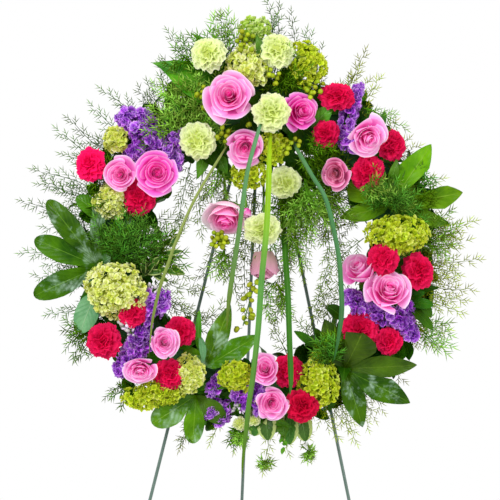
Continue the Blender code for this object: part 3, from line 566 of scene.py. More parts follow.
# places along a petal where its colour is given: near the heart of the flower, and at its rim
ROSE_STOPS = ((0.3, 0.8, 0.91, 1), (0.3, 0.58, 0.82, 0.97))
WHITE_ROSE_STOPS = ((0.3, 0.78, 0.9, 1), (0.3, 0.66, 0.9, 1))
FADED_ROSE_STOPS = ((0.3, 0.78, 1), (0.3, 0.66, 1))
LIME_STOPS = ((0.2, 0.65, 1), (0.2, 0.65, 1))
RED_STOPS = ((0.2, 0.7, 1), (0.2, 0.65, 1))
HYDRANGEA_STOPS = ((0.1, 0.55, 1), (0.1, 0.55, 1))
STOCK_STOPS = ((0.05, 0.3, 0.75, 1), (0.05, 0.3, 0.75, 1))
MATERIALS = {
    "rose": petal_material(
        "pink_rose_petal", ROSE_STOPS,
        [(0.95, 0.01, 0.42), (0.96, 0.06, 0.5), (0.98, 0.23, 0.66), (0.99, 0.58, 0.86)],
        [(0.96, 0.08, 0.56), (0.97, 0.24, 0.68), (0.98, 0.42, 0.8), (0.99, 0.78, 0.94)],
    ),
    "deep_rose": petal_material(
        "deep_pink_rose_petal", ROSE_STOPS,
        [(0.94, 0.002, 0.38), (0.95, 0.022, 0.48), (0.96, 0.12, 0.62), (0.98, 0.42, 0.8)],
        [(0.95, 0.025, 0.52), (0.96, 0.1, 0.63), (0.97, 0.2, 0.72), (0.99, 0.58, 0.88)],
    ),
    "dusky_rose": petal_material(
        "dusky_rose_petal", ROSE_STOPS,
        [(0.42, 0.14, 0.06), (0.66, 0.12, 0.22), (0.82, 0.22, 0.42), (0.9, 0.44, 0.62)],
        [(0.78, 0.08, 0.32), (0.86, 0.18, 0.46), (0.92, 0.3, 0.58), (0.97, 0.6, 0.8)],
        spread=(0.9, 1.04), translucent=0.36,
    ),
    "pale_rose": petal_material(
        "pale_rose_petal", ROSE_STOPS,
        [(0.95, 0.035, 0.44), (0.96, 0.12, 0.56), (0.98, 0.31, 0.73), (0.99, 0.66, 0.89)],
        [(0.96, 0.13, 0.58), (0.98, 0.32, 0.73), (0.98, 0.46, 0.82), (0.99, 0.8, 0.95)],
    ),
    "white_pink_rose": petal_material(
        "white_pink_rose_petal", WHITE_ROSE_STOPS,
        [(0.82, 0.01, 0.35), (0.94, 0.045, 0.47), (0.97, 0.13, 0.58), (0.98, 0.4, 0.74)],
        [(0.98, 0.66, 0.82), (0.99, 0.85, 0.92), (1, 0.93, 0.97), (1, 0.96, 0.98)],
        spread=(0.98, 1.03), power=2.6,
    ),
    "faded_rose": petal_material(
        "faded_rose_petal", FADED_ROSE_STOPS,
        [(0.5, 0.06, 0.18), (0.7, 0.2, 0.36), (0.82, 0.38, 0.56)],
        [(0.74, 0.48, 0.46), (0.8, 0.44, 0.54), (0.84, 0.42, 0.6)],
        spread=(0.9, 1.04),
    ),
    "lime_carnation": petal_material(
        "lime_carnation_petal", LIME_STOPS,
        [(0.46, 0.58, 0.02), (0.64, 0.74, 0.1), (0.8, 0.88, 0.32)],
        [(0.56, 0.66, 0.1), (0.72, 0.8, 0.28), (0.9, 0.95, 0.66)],
        spread=(0.93, 1.04), roughness=0.65, translucent=0.46,
    ),
    "red_carnation": petal_material(
        "red_carnation_petal", RED_STOPS,
        [(0.44, 0, 0.022), (0.64, 0, 0.05), (0.82, 0.005, 0.095)],
        [(0.46, 0, 0.026), (0.68, 0, 0.056), (0.88, 0.016, 0.13)],
        spread=(0.84, 1.08), roughness=0.65, specular=0.08,
    ),
    "deep_red_carnation": petal_material(
        "deep_red_carnation_petal", RED_STOPS,
        [(0.36, 0, 0.012), (0.52, 0, 0.026), (0.7, 0.003, 0.055)],
        [(0.38, 0, 0.014), (0.56, 0, 0.03), (0.74, 0.01, 0.075)],
        spread=(0.84, 1.08), roughness=0.65, specular=0.08,
    ),
    "bright_red_carnation": petal_material(
        "bright_red_carnation_petal", RED_STOPS,
        [(0.74, 0, 0.05), (0.9, 0, 0.1), (0.96, 0.004, 0.15)],
        [(0.76, 0, 0.06), (0.92, 0, 0.11), (0.98, 0.014, 0.18)],
        spread=(0.88, 1.05), roughness=0.65, specular=0.08,
    ),
    "pale_hydrangea": petal_material(
        "pale_green_hydrangea_petal", HYDRANGEA_STOPS,
        [(0.22, 0.42, 0.012), (0.42, 0.61, 0.05), (0.62, 0.77, 0.2)],
        [(0.36, 0.55, 0.06), (0.58, 0.73, 0.2), (0.8, 0.89, 0.48)],
        spread=(0.84, 1.08), translucent=0.42, hue=0.012,
    ),
    "lime_hydrangea": petal_material(
        "lime_hydrangea_petal", HYDRANGEA_STOPS,
        [(0.44, 0.54, 0.02), (0.68, 0.74, 0.11), (0.84, 0.88, 0.28)],
        [(0.66, 0.7, 0.14), (0.9, 0.92, 0.44), (0.96, 0.97, 0.68)],
        spread=(0.84, 1.08), translucent=0.38, hue=0.012,
    ),
    "bright_hydrangea": petal_material(
        "bright_hydrangea_petal", HYDRANGEA_STOPS,
        [(0.28, 0.4, 0.002), (0.54, 0.65, 0.012), (0.72, 0.81, 0.07)],
        [(0.42, 0.54, 0.012), (0.7, 0.78, 0.08), (0.88, 0.92, 0.28)],
        spread=(0.8, 1.08), translucent=0.38, hue=0.012,
    ),
    "stock": petal_material(
        "purple_stock_petal", STOCK_STOPS,
        [(0.34, 0.12, 0.56), (0.11, 0.001, 0.28), (0.36, 0.022, 0.68), (0.62, 0.19, 0.93)],
        [(0.68, 0.48, 0.84), (0.38, 0.04, 0.7), (0.62, 0.2, 0.93), (0.9, 0.66, 0.99)],
        spread=(0.6, 1.18), specular=0.08, translucent=0.34, hue=0.018,
    ),
    "stem": plain_green("green_stem", (0.05, 0.15, 0.01), (0.14, 0.32, 0.03)),
    "sepal": plain_green("green_sepal", (0.07, 0.2, 0.01), (0.18, 0.38, 0.05)),
    "pale_bud": plain_green("pale_bud", (0.42, 0.44, 0.34), (0.76, 0.66, 0.84)),
    # the fatsia's bloom is a painted sheen: pale patches in place of highlights on the glossy leaf
    "fatsia": leaf_material(
        "fatsia_leaf", (0.012, 0.066, 0), (0.046, 0.155, 0), (0.12, 0.26, 0.02), 0.28,
        specular=0.08, bloom=0.66,
    ),
    "olive_fatsia": leaf_material(
        "olive_fatsia_leaf", (0.02, 0.055, 0), (0.05, 0.115, 0.001), (0.1, 0.18, 0.01), 0.34, specular=0.12
    ),
    "light_fatsia": leaf_material(
        "light_fatsia_leaf", (0.05, 0.15, 0), (0.12, 0.27, 0), (0.22, 0.38, 0.03), 0.36,
        translucent=0.16, specular=0.1,
    ),
    # this leaf's bloom is also a painted sheen, standing in for highlights
    "glossy_fatsia": leaf_material(
        "glossy_fatsia_leaf", (0.03, 0.105, 0), (0.085, 0.215, 0), (0.17, 0.32, 0.02), 0.28,
        specular=0.1, bloom=0.66,
    ),
    "broad_leaf": leaf_material(
        "broad_leaf", (0.03, 0.14, 0.002), (0.09, 0.27, 0.008), (0.2, 0.4, 0.09), 0.28
    ),
    "dark_leaf": leaf_material(
        "dark_leaf", (0.01, 0.06, 0), (0.034, 0.13, 0.001), (0.08, 0.21, 0.01), 0.34, specular=0.1
    ),
    "blue_leaf": leaf_material(
        "blue_green_leaf", (0.06, 0.2, 0.07), (0.14, 0.32, 0.14), (0.3, 0.46, 0.26), 0.36
    ),
    "variegated": leaf_material(
        "variegated_leaf", (0.02, 0.09, 0.006), (0.06, 0.17, 0.02), (0.12, 0.26, 0.05), 0.28,
        edge=(0.36, 0.46, 0.14),
    ),
    "fern": needles("fern_needles", (0.02, 0.09, 0), (0.14, 0.3, 0.01)),
    "blue_fern": needles("blue_green_fern_needles", (0.03, 0.13, 0.008), (0.13, 0.34, 0.035)),
    "hanging_fern": needles("hanging_fern_needles", (0.06, 0.14, 0), (0.27, 0.4, 0.006)),
    "light_fern": needles("light_fern_needles", (0.06, 0.21, 0), (0.36, 0.6, 0.09)),
    "yellow_fern": needles("yellow_fern_needles", (0.15, 0.22, 0), (0.52, 0.62, 0.04)),
    "berry": plain_green("hypericum_berry", (0.16, 0.26, 0.003), (0.44, 0.5, 0.02), 0.26, 0.1, (0.75, 1.1)),
    "blue_blade": blade_material(
        "blue_green_blade", [(0, (0.1, 0.26, 0.12)), (0.45, (0.08, 0.21, 0.07)), (1, (0.13, 0.19, 0.015))]
    ),
    "teal_blade": blade_material(
        "teal_blade", [(0, (0.12, 0.26, 0.09)), (0.25, (0.06, 0.19, 0.07)), (1, (0.04, 0.15, 0.04))]
    ),
    "lime_blade": blade_material(
        "lime_to_green_blade", [
            (0, (0.3, 0.46, 0.004)), (0.22, (0.22, 0.42, 0.01)),
            (0.36, (0.09, 0.27, 0.05)), (1, (0.07, 0.14, 0.004)),
        ],
    ),
    "green_blade": blade_material("green_blade", [(0, (0.04, 0.15, 0.008)), (1, (0.035, 0.15, 0.015))]),
    "olive_blade": blade_material("olive_blade", [(0, (0.24, 0.3, 0.08)), (1, (0.14, 0.2, 0.03))]),
}


# ---- Roses ----
ROSE_FRONT = 0.5  # how far a packed rose's face is before its middle, in its radius
CARNATION_FRONT = 0.55
HYDRANGEA_FRONT = 0.6
GREEN = 1  # the part of a mesh that is stem or sepal
SCROLL_TURNS = 3.1
CALYX_DEPTH = 0.62  # below a rose's middle, in its radius


def add_rose(maker, rng, centre, axes, radius, petals, openness, cup):
    """A rose of spiralled petals. cup holds the outer petals up, as in a half-open bud.
    Tone: how outer the petal is, how near its lip, its own chance."""
    # the heart: one petal rolled up like a scroll, over a small core
    turns = np.linspace(0, 1, 60)[None, :]
    down = np.linspace(0, 1, 4)[:, None]
    r = 0.015 + 0.17 * turns**1.05 + 0.03 * (1 - down) ** 2
    angle = 2 * pi * SCROLL_TURNS * turns + rng.uniform(0, 6) + 0 * down
    z = 0.53 - 0.05 * turns + 0.012 * np.sin(angle * 1.7) - 0.2 * down
    add_sheet(maker, spun(r, angle, z), centre, axes, radius, (0.0, 1.0 - 0.75 * down, rng.uniform()))
    core = placed((0.0, 0.0, 0.26), centre, axes, radius)[0]
    add_bead(maker, SMALL_BEAD, core, axes, (0.2, 0.2, 0.16), radius, (0.0, 0.62, 0.5))
    v, u = petal_grid(10, 11)
    for i in range(petals):
        t = (i + 0.4) / (petals - 0.6)
        along = v * (1 - (0.22 + 0.08 * t) * np.abs(u) ** 3.4)  # each petal's end is rounded
        turn = i * GOLDEN_TURN + rng.normal(0, 0.22)
        rim = (0.17 + 0.79 * openness * t**2.0) * rng.uniform(0.94, 1.05)
        top = 0.51 - 0.04 * t - (0.44 - 0.34 * cup) * t**2.6 + rng.normal(0, 0.012 + 0.03 * t)
        foot_r = 0.05 + (0.15 + 0.4 * ease(cup, 0.75, 1.0)) * t
        foot_z = -0.6 - 0.06 * t
        half_width = radians(112 - (50 - 8 * cup) * t**0.8) * rng.uniform(0.88, 1.1)
        # along the petal: a Bezier curve from its foot to its rim, bellied out low down
        belly_r = foot_r + (rim - foot_r) * (1.1 + 0.16 * t + 0.5 * ease(cup, 0.75, 1.0))
        belly_z = foot_z + (top - foot_z) * (0.42 + 0.12 * t)
        r = foot_r * (1 - along) ** 2 + 2 * belly_r * along * (1 - along) + rim * along**2
        z = foot_z * (1 - along) ** 2 + 2 * belly_z * along * (1 - along) + top * along**2
        spread = (0.4 + 0.6 * np.sin(0.6 * pi * v**0.8)) * (1 - 0.12 * t * ease(v, 0.7, 1.0) ** 2)
        # the lip rolls outwards, with a peak in its middle and a wave along it
        peak = 0.035 * t * (1 - 0.9 * cup) * np.exp(-(((u - rng.normal(0, 0.15)) / 0.2) ** 2)) * v**4
        lip = ease(v, 0.58, 1.0) ** 2
        roll = (0.01 + 0.22 * t**1.3) * (1 - 0.75 * cup)
        r = r + roll * lip * (0.85 + 0.1 * np.abs(u) ** 1.5) + 0.03 * u * (0.4 + t) + 0.6 * peak
        z = z - (0.004 + 0.24 * t**1.2) * (1 - 0.75 * cup) * lip * (0.55 + 0.7 * u**2) + 0.9 * peak
        wave = rng.normal(0, 0.008 + 0.045 * t) * np.sin(u * rng.uniform(2, 6) + rng.uniform(0, 6)) * v**2
        petal = spun(r + wave, turn + u * half_width * spread, z + 0.9 * wave)
        add_sheet(maker, petal, centre, axes, radius, (t, v, rng.uniform()))


def add_calyx(maker, rng, centre, axes, radius):
    """The green cup under a rose, with five narrow sepals."""
    cup = placed((0.0, 0.0, -CALYX_DEPTH), centre, axes, radius)[0]
    add_bead(maker, BEAD, cup, axes, (0.2, 0.2, 0.22), radius, (0, 0.3, 0.5), GREEN)
    v, u = petal_grid(5, 3)
    for k in range(5):
        turn = 2 * pi * k / 5 + rng.normal(0, 0.1)
        z = -CALYX_DEPTH - 0.1 + 0.42 * v**1.5 + rng.normal(0, 0.04) * v - 0.05 * u**2
        angle = turn + u * 0.38 * (1 - v**1.6) / (0.35 + v)
        add_sheet(maker, spun(0.1 + 0.62 * v, angle, z), centre, axes, radius, (0, v, 0.5), GREEN)


def add_stem(maker, centre, axes, radius, depth, thickness, foot=None):
    """A stem from the back of a head, depth radii behind its middle, to the foam."""
    neck = centre - axes[:, 2] * depth * radius
    foot = stem_foot(neck) if foot is None else np.asarray(foot)
    bow = (neck + foot) / 2 - axes[:, 2] * 0.12 * np.linalg.norm(neck - foot)
    path = curve_through([foot, bow * 0.5 + (neck + foot) * 0.25, neck], 7)
    add_rod(maker, path, thickness, 6, (0, 0.4, 0.5), GREEN)


# ---- Carnations ----
CARNATION_DOME = 0.62  # height of the dome that the petals' edges end on, in its radius


def add_carnation(maker, rng, centre, axes, radius, teeth, petals=46):
    """A dome of broad ruffled fans with toothed edges. Tone: how outer, how near the edge, its own chance."""
    columns = 21
    v, u = petal_grid(5, columns)
    v = v**0.85
    add_bead(maker, BEAD, centre, axes, (0.62, 0.62, 0.34), radius, (0.4, 0.6, 0.5))
    for i in range(petals):
        t = sqrt((i + 0.5) / petals)
        turn = i * GOLDEN_TURN + rng.normal(0, 0.3)
        lean = radians(5 + 86 * t**1.3 + rng.normal(0, 7))  # from the axis
        reach = 1.0 / sqrt(sin(lean) ** 2 + (cos(lean) / CARNATION_DOME) ** 2)
        foot = np.array((0.08 * t, 0, -0.42))
        along = np.array((reach * sin(lean), 0, reach * cos(lean) - 0.1 * t)) - foot
        length = np.linalg.norm(along) * rng.uniform(0.9, 1.05)
        along = unit(along)
        back = np.array((-along[2], 0, along[0]))
        fan = u * radians(rng.uniform(32, 42))
        scallop = 1 - 0.05 * np.abs(np.sin(1.6 * pi * u + rng.uniform(0, 6)))
        nick = np.where((np.arange(columns) + rng.integers(2)) % 2 == 0, 1.0, teeth)[None, :]
        out = length * v * (nick * scallop) ** ease(v, 0.7, 1.0) * (1 - 0.16 * u**2)
        ruffles = rng.uniform(1.6, 3.0)
        phase = rng.uniform(0, 2 * pi)
        deep = 0.15 - 0.05 * t
        ruffle = deep * ease(v, 0.35, 1.0) * np.sin(ruffles * pi * u + phase) * rng.uniform(0.7, 1.2)
        ruffle = ruffle + 0.045 * ease(v, 0.7, 1.0) * np.sin(3.3 * ruffles * u + 2 * phase)
        curl = -0.2 * t * ease(v, 0.55, 1.0) ** 2 + 0.08 * np.sin(pi * v)
        side = out * np.sin(fan) * (0.6 + 0.4 * ease(v, 0.2, 0.7))
        points = foot + (out * np.cos(fan))[..., None] * along + (ruffle + curl)[..., None] * back
        x, y, z = np.moveaxis(points + side[..., None] * UP, -1, 0)
        points = np.stack([cos(turn) * x - sin(turn) * y, sin(turn) * x + cos(turn) * y, z], -1)
        add_sheet(maker, points, centre, axes, radius, (t, v, rng.uniform()))


# ---- Hydrangea and stock ----
def round_petal(rows, columns, width, cup, notch=0.0, fold=0.0, point=0.0, ripple=0.0, phase=0.0):
    """A petal along x from the origin, of length 1, as (points, how far along)."""
    v, u = petal_grid(rows, columns)
    shape = np.sqrt(np.clip(1 - (1 - 1.25 * v) ** 2 * 0.98, 0, 1)) * (0.3 + 0.7 * ease(v, 0, 0.5))
    shape = shape * (1 - point * v**2)
    end = np.sqrt(np.clip(1 - (np.abs(u) * 0.92) ** 2.2, 0, 1))
    x = v * (0.55 + 0.45 * end) - notch * np.exp(-((u / 0.3) ** 2)) * v**3
    z = cup * (v**1.5 - 0.6 * v) + fold * u**2 * v + ripple * np.sin(4.2 * u + phase) * v**1.5
    return np.stack([x, u * width * shape, z], -1), v + 0 * u


def add_floret(maker, rng, centre, axes, size, petals, tilt, shape, outerness, loose=0.15):
    """A whorl of petals that open by tilt from flat. loose is how unevenly."""
    points, along = shape
    for k in range(petals):
        lift = tilt + rng.normal(0, loose)
        turn = 2 * pi * k / petals + rng.normal(0, loose)
        twist = rng.normal(0, loose)
        y = points[..., 1] * cos(twist) - points[..., 2] * sin(twist)
        height = points[..., 1] * sin(twist) + points[..., 2] * cos(twist)
        x = points[..., 0] * cos(lift) - height * sin(lift)
        z = points[..., 0] * sin(lift) + height * cos(lift)
        turned = np.stack([x * cos(turn) - y * sin(turn), x * sin(turn) + y * cos(turn), z], -1)
        tone = (outerness, along, rng.uniform())
        add_sheet(maker, turned, centre, axes, size * rng.uniform(0.88, 1.1), tone)


HYDRANGEA_DOME = 0.62  # height of a head's dome, in its radius


def add_hydrangea(maker, rng, centre, axes, wide, tall, cream, floret=0.0076, reach=1.3):
    """A lumpy dome of four-petalled florets. cream is the share of pale florets."""
    shape = round_petal(3, 3, 0.6, 0.16, fold=0.16, point=0.4)
    high = (wide + tall) / 2 * HYDRANGEA_DOME
    count = max(24, int(2 * pi * wide * tall * 2.9 / (1.45 * floret) ** 2))
    add_bead(maker, BEAD, centre, axes, (wide * 0.74, tall * 0.74, high * 0.7), 1.0, (0.0, 0.45, 0.4))
    lumps = unit(rng.normal(0, 1, (12, 3)))
    for i in range(count):
        down = np.arccos(1 - reach * ((i + 0.5) / count) ** 1.25)
        normal = unit(polar(sin(down), i * GOLDEN_TURN, cos(down)) + rng.normal(0, 0.09, 3))
        lump = 0.28 * ease((lumps @ normal).max(), 0.62, 0.98)
        spot = normal * (rng.uniform(0.74, 0.96) + lump) * np.array((wide, tall, high))
        out = axes @ unit(normal * np.array((1, 1, 1.2)) + rng.normal(0, 0.42, 3))
        own = axes_for(out, rng.uniform(0, 2 * pi))
        middle = placed(spot, centre, axes)[0]
        size = floret * rng.uniform(0.78, 1.25)
        outerness = float(rng.uniform() < cream) * rng.uniform(0.4, 1.0)
        add_floret(maker, rng, middle, own, size, 4, 0.26, shape, outerness, 0.3)
        eye = middle + own[:, 2] * size * 0.1
        add_bead(maker, TINY_BEAD, eye, own, (0.12, 0.12, 0.12), size, (0, 0.9, 0.9))


def add_stock_floret(maker, rng, centre, axes, size, outerness):
    """A double stock flower: three loose whorls of soft, crumpled petals."""
    for count, share, tilt in ((5, 1.0, 0.02), (4, 0.84, 0.5), (3, 0.6, 1.0)):
        shape = round_petal(4, 5, 0.58, 0.3, 0.16, -0.1, ripple=0.17, phase=rng.uniform(0, 6))
        turned = axes @ np.array(Matrix.Rotation(rng.uniform(0, 2 * pi), 3, "Z"))
        add_floret(maker, rng, centre, turned, size * share, count, tilt, shape, outerness, 0.34)


STOCK_FLORET = 0.014  # radius
STOCK_STEM = 0.0022
PALE_BUD = 2  # the part of a spike's mesh that is unopened buds


def add_stock_spike(maker, rng, points, thick, buds):
    """Florets all round a stem that follows the points. buds is the share of its end with pale buds."""
    length = np.linalg.norm(np.diff(points, axis=0), axis=1).sum()
    path = curve_through(points, 40)
    along = travel(path)
    add_rod(maker, path[::4], STOCK_STEM, 5, (0, 0.3, 0.4), GREEN)
    count = int(length * 2 * pi * thick / (1.3 * STOCK_FLORET) ** 2 * 1.5) + 4
    for i in range(count):
        share = (i + 0.5) / count
        at = min(39, int(share * 39))
        across = axes_for(along[at])
        out = around(across, i * GOLDEN_TURN + rng.normal(0, 0.3))
        size = STOCK_FLORET * rng.uniform(0.62, 1.22) * (1 - 0.3 * share)
        if share > 1 - buds:
            tone = (0, rng.uniform(), rng.uniform())
            bud = path[at] + out * thick * 0.55
            sizes = np.array((0.5, 0.5, 0.8)) * size
            add_bead(maker, SMALL_BEAD, bud, axes_for(out + along[at]), sizes, 0.62, tone, PALE_BUD)
            continue
        middle = path[at] + out * (thick - 0.45 * STOCK_FLORET) * rng.uniform(0.75, 1.2)
        facing = axes_for(out + 0.35 * along[at] + rng.normal(0, 0.38, 3))
        add_stock_floret(maker, rng, middle, facing, size, rng.uniform() ** 0.9)


# ---- Leaves ----
def ovate(s):
    """A leaf's half width along it: pointed at the tip and rounded at the base."""
    return np.sin(pi * s**0.72) ** 0.85 * (1 - 0.25 * s**1.6)


def lance(s):
    return (4 * s * (1 - s)) ** 0.75


def rounded(s):
    return np.clip(1 - np.abs(2 * s**0.85 - 1) ** 2.6, 0, 1) ** 0.6


def leaf_axes(along, facing):
    """Axes with x along a leaf, z out of its upper face."""
    x = unit(along)
    z = unit(np.asarray(facing, float) - x * np.dot(facing, x))
    return np.stack([x, np.cross(z, x), z], 1)


def leaf_rows(rows):
    """Places along a leaf, closer together near its ends."""
    return (1 - np.cos(np.linspace(0, pi, rows))) / 2


def add_leaf(maker, rng, base, tip, half_width, outline, facing=OUT, arch=0.12, fold=0.28, wave=0.1,
             rows=11, columns=7, limits=(np.inf, np.inf), part=0):
    """A leaf from base to tip, arched along its length and folded along its midrib.
    limits are the widths at each row that a neighbour in the same palm leaves free, on each side."""
    base, tip = np.asarray(base, float), np.asarray(tip, float)
    length = np.linalg.norm(tip - base)
    rise = leaf_rows(rows)
    s = rise[:, None]
    u = np.linspace(-1, 1, columns)[None, :]
    left, right = (np.minimum(half_width * outline(rise), limit)[:, None] for limit in limits)
    y = np.where(u > 0, left, right) * u
    ripple = wave * half_width * np.sin(s * rng.uniform(7, 12) + 2.2 * np.sign(u) + rng.uniform(0, 6))
    z = length * arch * 4 * s * (1 - s) + fold * np.abs(y)
    z = z - 0.45 * fold * y**2 / max(half_width, 1e-6) + ripple * u**2 * ease(s, 0.1, 0.5)
    points = np.stack([length * s + 0 * y, y, z], -1)
    add_sheet(maker, points, base, leaf_axes(tip - base, facing), 1.0, (u, s, rng.uniform()), part)


def lobe(shoulder, end, bluntness):
    """A fatsia lobe's outline: it widens up to the shoulder, then narrows to its end."""
    return lambda s: (0.42 + 0.58 * ease(s, 0.05, shoulder)) * np.clip(1 - s**end, 0, 1) ** bluntness


fatsia_lobe = lobe(0.58, 2.7, 0.85)
blunt_lobe = lobe(0.62, 5.0, 0.52)
square_lobe = lobe(0.7, 16.0, 0.5)


def add_fatsia(maker, rng, hub, lobes):
    """A palmate leaf: lobes of (bearing, length, half width, rise of the tip, outline, part) from one hub,
    joined in a palm."""
    lobes = sorted(lobes, key=lambda one: one[0])
    for i, (bearing, length, half_width, rise, outline, *part) in enumerate(lobes):
        length, half_width, rise = length / MM, half_width / MM, rise / MM
        after = (lobes[(i + 1) % len(lobes)][0] - bearing) % 360 or 360
        before = (bearing - lobes[i - 1][0]) % 360 or 360
        # near the hub, each lobe fills half the angle to the next one
        limits = [length * leaf_rows(15) * tan(radians(min(gap, 84) / 2)) + 0.0004 for gap in (after, before)]
        tip = hub + polar(length, radians(bearing), rise)
        add_leaf(maker, rng, hub, tip, half_width, outline, arch=0.1, fold=0.3, wave=0.12, rows=15,
                 columns=9, limits=limits, part=part[0] if part else 0)
    foot = stem_foot(hub)
    middle = (foot + hub) / 2 + 0.004 * OUT
    add_rod(maker, curve_through([foot, middle, hub], 6), 0.0022, 6, (0.5, 0.3, 0.5), GREEN)


def add_blade(maker, rng, places, half_width):
    """A strap of grass through the places, V-folded, pointed at its far end."""
    path = curve_through([seen_at(*place) for place in places], 44)
    along = travel(path)
    across = unit(np.cross(along, OUT))
    out = np.cross(across, along)
    s = np.linspace(0, 1, len(path))[:, None]
    twist = 0.5 * np.sin(3.0 * s + rng.uniform(0, 6)) + rng.uniform(-0.2, 0.2)
    turned = across * np.cos(twist) + out * np.sin(twist)
    lifted = out * np.cos(twist) - across * np.sin(twist)
    width = half_width * np.clip(0.55 + 3 * s, 0, 1) * np.clip((1 - s) * 5.0, 0.02, 1) ** 0.7
    u = np.linspace(-1, 1, 7)[None, :]
    points = path[:, None, :] + turned[:, None, :] * (width * u)[..., None]
    points = points + lifted[:, None, :] * (width * (0.75 - 0.75 * np.abs(u)))[..., None]
    add_sheet(maker, points, 0.0, np.eye(3), 1.0, (u, s, rng.uniform(0.3, 0.7)))


# ---- Ferns ----
def add_spikes(maker, bases, directions, lengths, thickness, tone):
    """Many thin three-sided needles."""
    directions = unit(directions)
    across = unit(np.cross(directions, np.where(np.abs(directions[:, :1]) < 0.9, ACROSS, UP)))
    up = np.cross(directions, across)
    corners = [bases + thickness * (cos(a) * across + sin(a) * up) for a in (0, 2 * pi / 3, 4 * pi / 3)]
    points = np.stack([*corners, bases + directions * lengths[:, None]], 1)
    start = np.arange(len(bases))[:, None] * 4
    faces = np.concatenate([start + side for side in ((0, 1, 3), (1, 2, 3), (2, 0, 3))])
    maker.add(points, faces, np.repeat(tone, 4, axis=0))


DROOP = 0.06  # how far a spray bows out towards the viewer, in its length
BRANCH_GAP = 0.0088  # between side branches, along a spray


def add_fern(maker, rng, root, tip, reach, needle=0.012, thickness=0.00115, gap=0.0029):
    """A feathery spray: side branches either way from a curved main stem, each with needles on both sides."""
    length = np.linalg.norm(tip - root)
    axes = leaf_axes(tip - root, OUT)
    bow = (root + tip) / 2 + axes[:, 1] * rng.normal(0, 0.08) * length + axes[:, 2] * DROOP * length
    path = curve_through([root, bow, tip], 30)
    along = travel(path)
    chance = rng.uniform()
    add_rod(maker, path[::3], np.linspace(0.0009, 0.0004, 10), 4, (0, 0.1, chance))
    branches = max(5, int(length / BRANCH_GAP))
    bases, ways, lengths, tone = [], [], [], []
    for k in range(branches + 1):
        share = 0.08 + 0.92 * (k + rng.uniform(0, 0.5)) / branches
        at = min(29, int(share * 29))
        side = 1 if k % 2 else -1
        forward = along[at]
        plane = unit(np.cross(axes[:, 2] + rng.normal(0, 0.3, 3), forward))
        swing = 0.0 if k == branches else radians(rng.uniform(32, 56))
        way = unit(forward * cos(swing) + side * plane * sin(swing) + rng.normal(0, 0.1, 3))
        profile = (0.5 + 0.5 * sin(pi * min(1.0, share * 1.25))) * (1.05 - 0.62 * share)
        size = max(0.012, reach * profile * rng.uniform(0.7, 1.2))
        steps = max(4, int(size / gap))
        s = (np.arange(steps)[:, None] + 0.7) / steps
        # a branch bends forward along the main stem
        spots = path[at] + way * (size * s) + forward * (0.16 * size * s**2)
        heading = unit(way + forward * (0.32 * s))
        middle = path[at] + way * size * 0.5 + forward * 0.04 * size
        add_rod(maker, np.stack([path[at], middle, spots[-1]]), 0.00036, 3, (0, 0.2, chance))
        flank = np.where(np.arange(steps) % 2, 0.95, -0.95)[:, None]
        flank[-1] = 0.0  # the last needle points straight on
        bases.append(spots)
        lateral = unit(np.cross(heading, axes[:, 2]))
        ways.append(heading + lateral * flank + axes[:, 2] * rng.normal(0.1, 0.32, (steps, 1)))
        s = s[:, 0]
        lengths.append(needle * rng.uniform(0.75, 1.2, steps) * (1.08 - 0.38 * s))
        light = 0.15 + 0.85 * s * (0.4 + 0.6 * share)
        tone.append(np.stack([0 * s, light, chance + rng.normal(0, 0.22, steps)], -1))
    tone = np.clip(np.concatenate(tone), 0, 1)
    add_spikes(maker, np.concatenate(bases), np.concatenate(ways), np.concatenate(lengths), thickness, tone)


def add_tuft(maker, rng, root, bearing, spread, length, count, reach):
    """Several sprays that fan out from one place. bearing and spread are in degrees."""
    root = seen_at(*root)
    for k in range(count):
        angle = radians(bearing + spread * ((k + 0.5) / count - 0.5) + rng.normal(0, 5))
        size = length / MM * rng.uniform(0.72, 1.12)
        tip = root + polar(size, angle, rng.uniform(0.3, 1.2) * 0.03)
        add_fern(maker, rng, root, tip, reach / MM * rng.uniform(0.8, 1.15), 0.0165, 0.0015, 0.005)


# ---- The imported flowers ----
# number: (how far it looks to +x, how far to +y, petals, openness, cup, size, length of the bud, finish)
ROSES = {
    1: (-0.1, 0.15, 25, 1.08, -0.1, 1.02, 1, "rose"),
    2: (0.3, 0.05, 19, 0.98, 0.15, 1.04, 1, "deep_rose"),
    3: (-0.1, -0.25, 21, 1, 0.1, 1.08, 1, "rose"),
    4: (-0.1, -0.05, 21, 1, 0.1, 1.04, 1, "rose"),
    5: (0.05, -0.05, 21, 1.02, 0, 0.98, 1, "deep_rose"),
    6: (0.3, -0.5, 21, 1.05, 0, 1, 1, "pale_rose"),
    7: (-0.25, -0.15, 19, 1, 0.2, 1.04, 1, "dusky_rose"),
    8: (-0.15, -1.3, 19, 0.96, 0.62, 1.1, 1, "white_pink_rose"),
    9: (0, -5, 15, 0.8, 1, 1.1, 1.35, "faded_rose"),
    10: (0.1, 0.1, 27, 1, 0.2, 0.92, 1, "pale_rose"),
    11: (-0.05, -0.55, 21, 1.04, 0.15, 1, 1, "pale_rose"),
    12: (-0.1, 0.2, 17, 0.96, 0.3, 1.08, 1, "pale_rose"),
    13: (0.05, -0.05, 25, 1.04, 0, 0.9, 1, "rose"),
    14: (-0.55, 0.7, 17, 0.9, 0.8, 1, 1.2, "pale_rose"),
    15: (0.05, 0.55, 21, 1.02, 0.22, 1.06, 1, "pale_rose"),
}
RED_TEETH = 0.95  # a red petal's length at the notches in its edge, as a share of its length between them
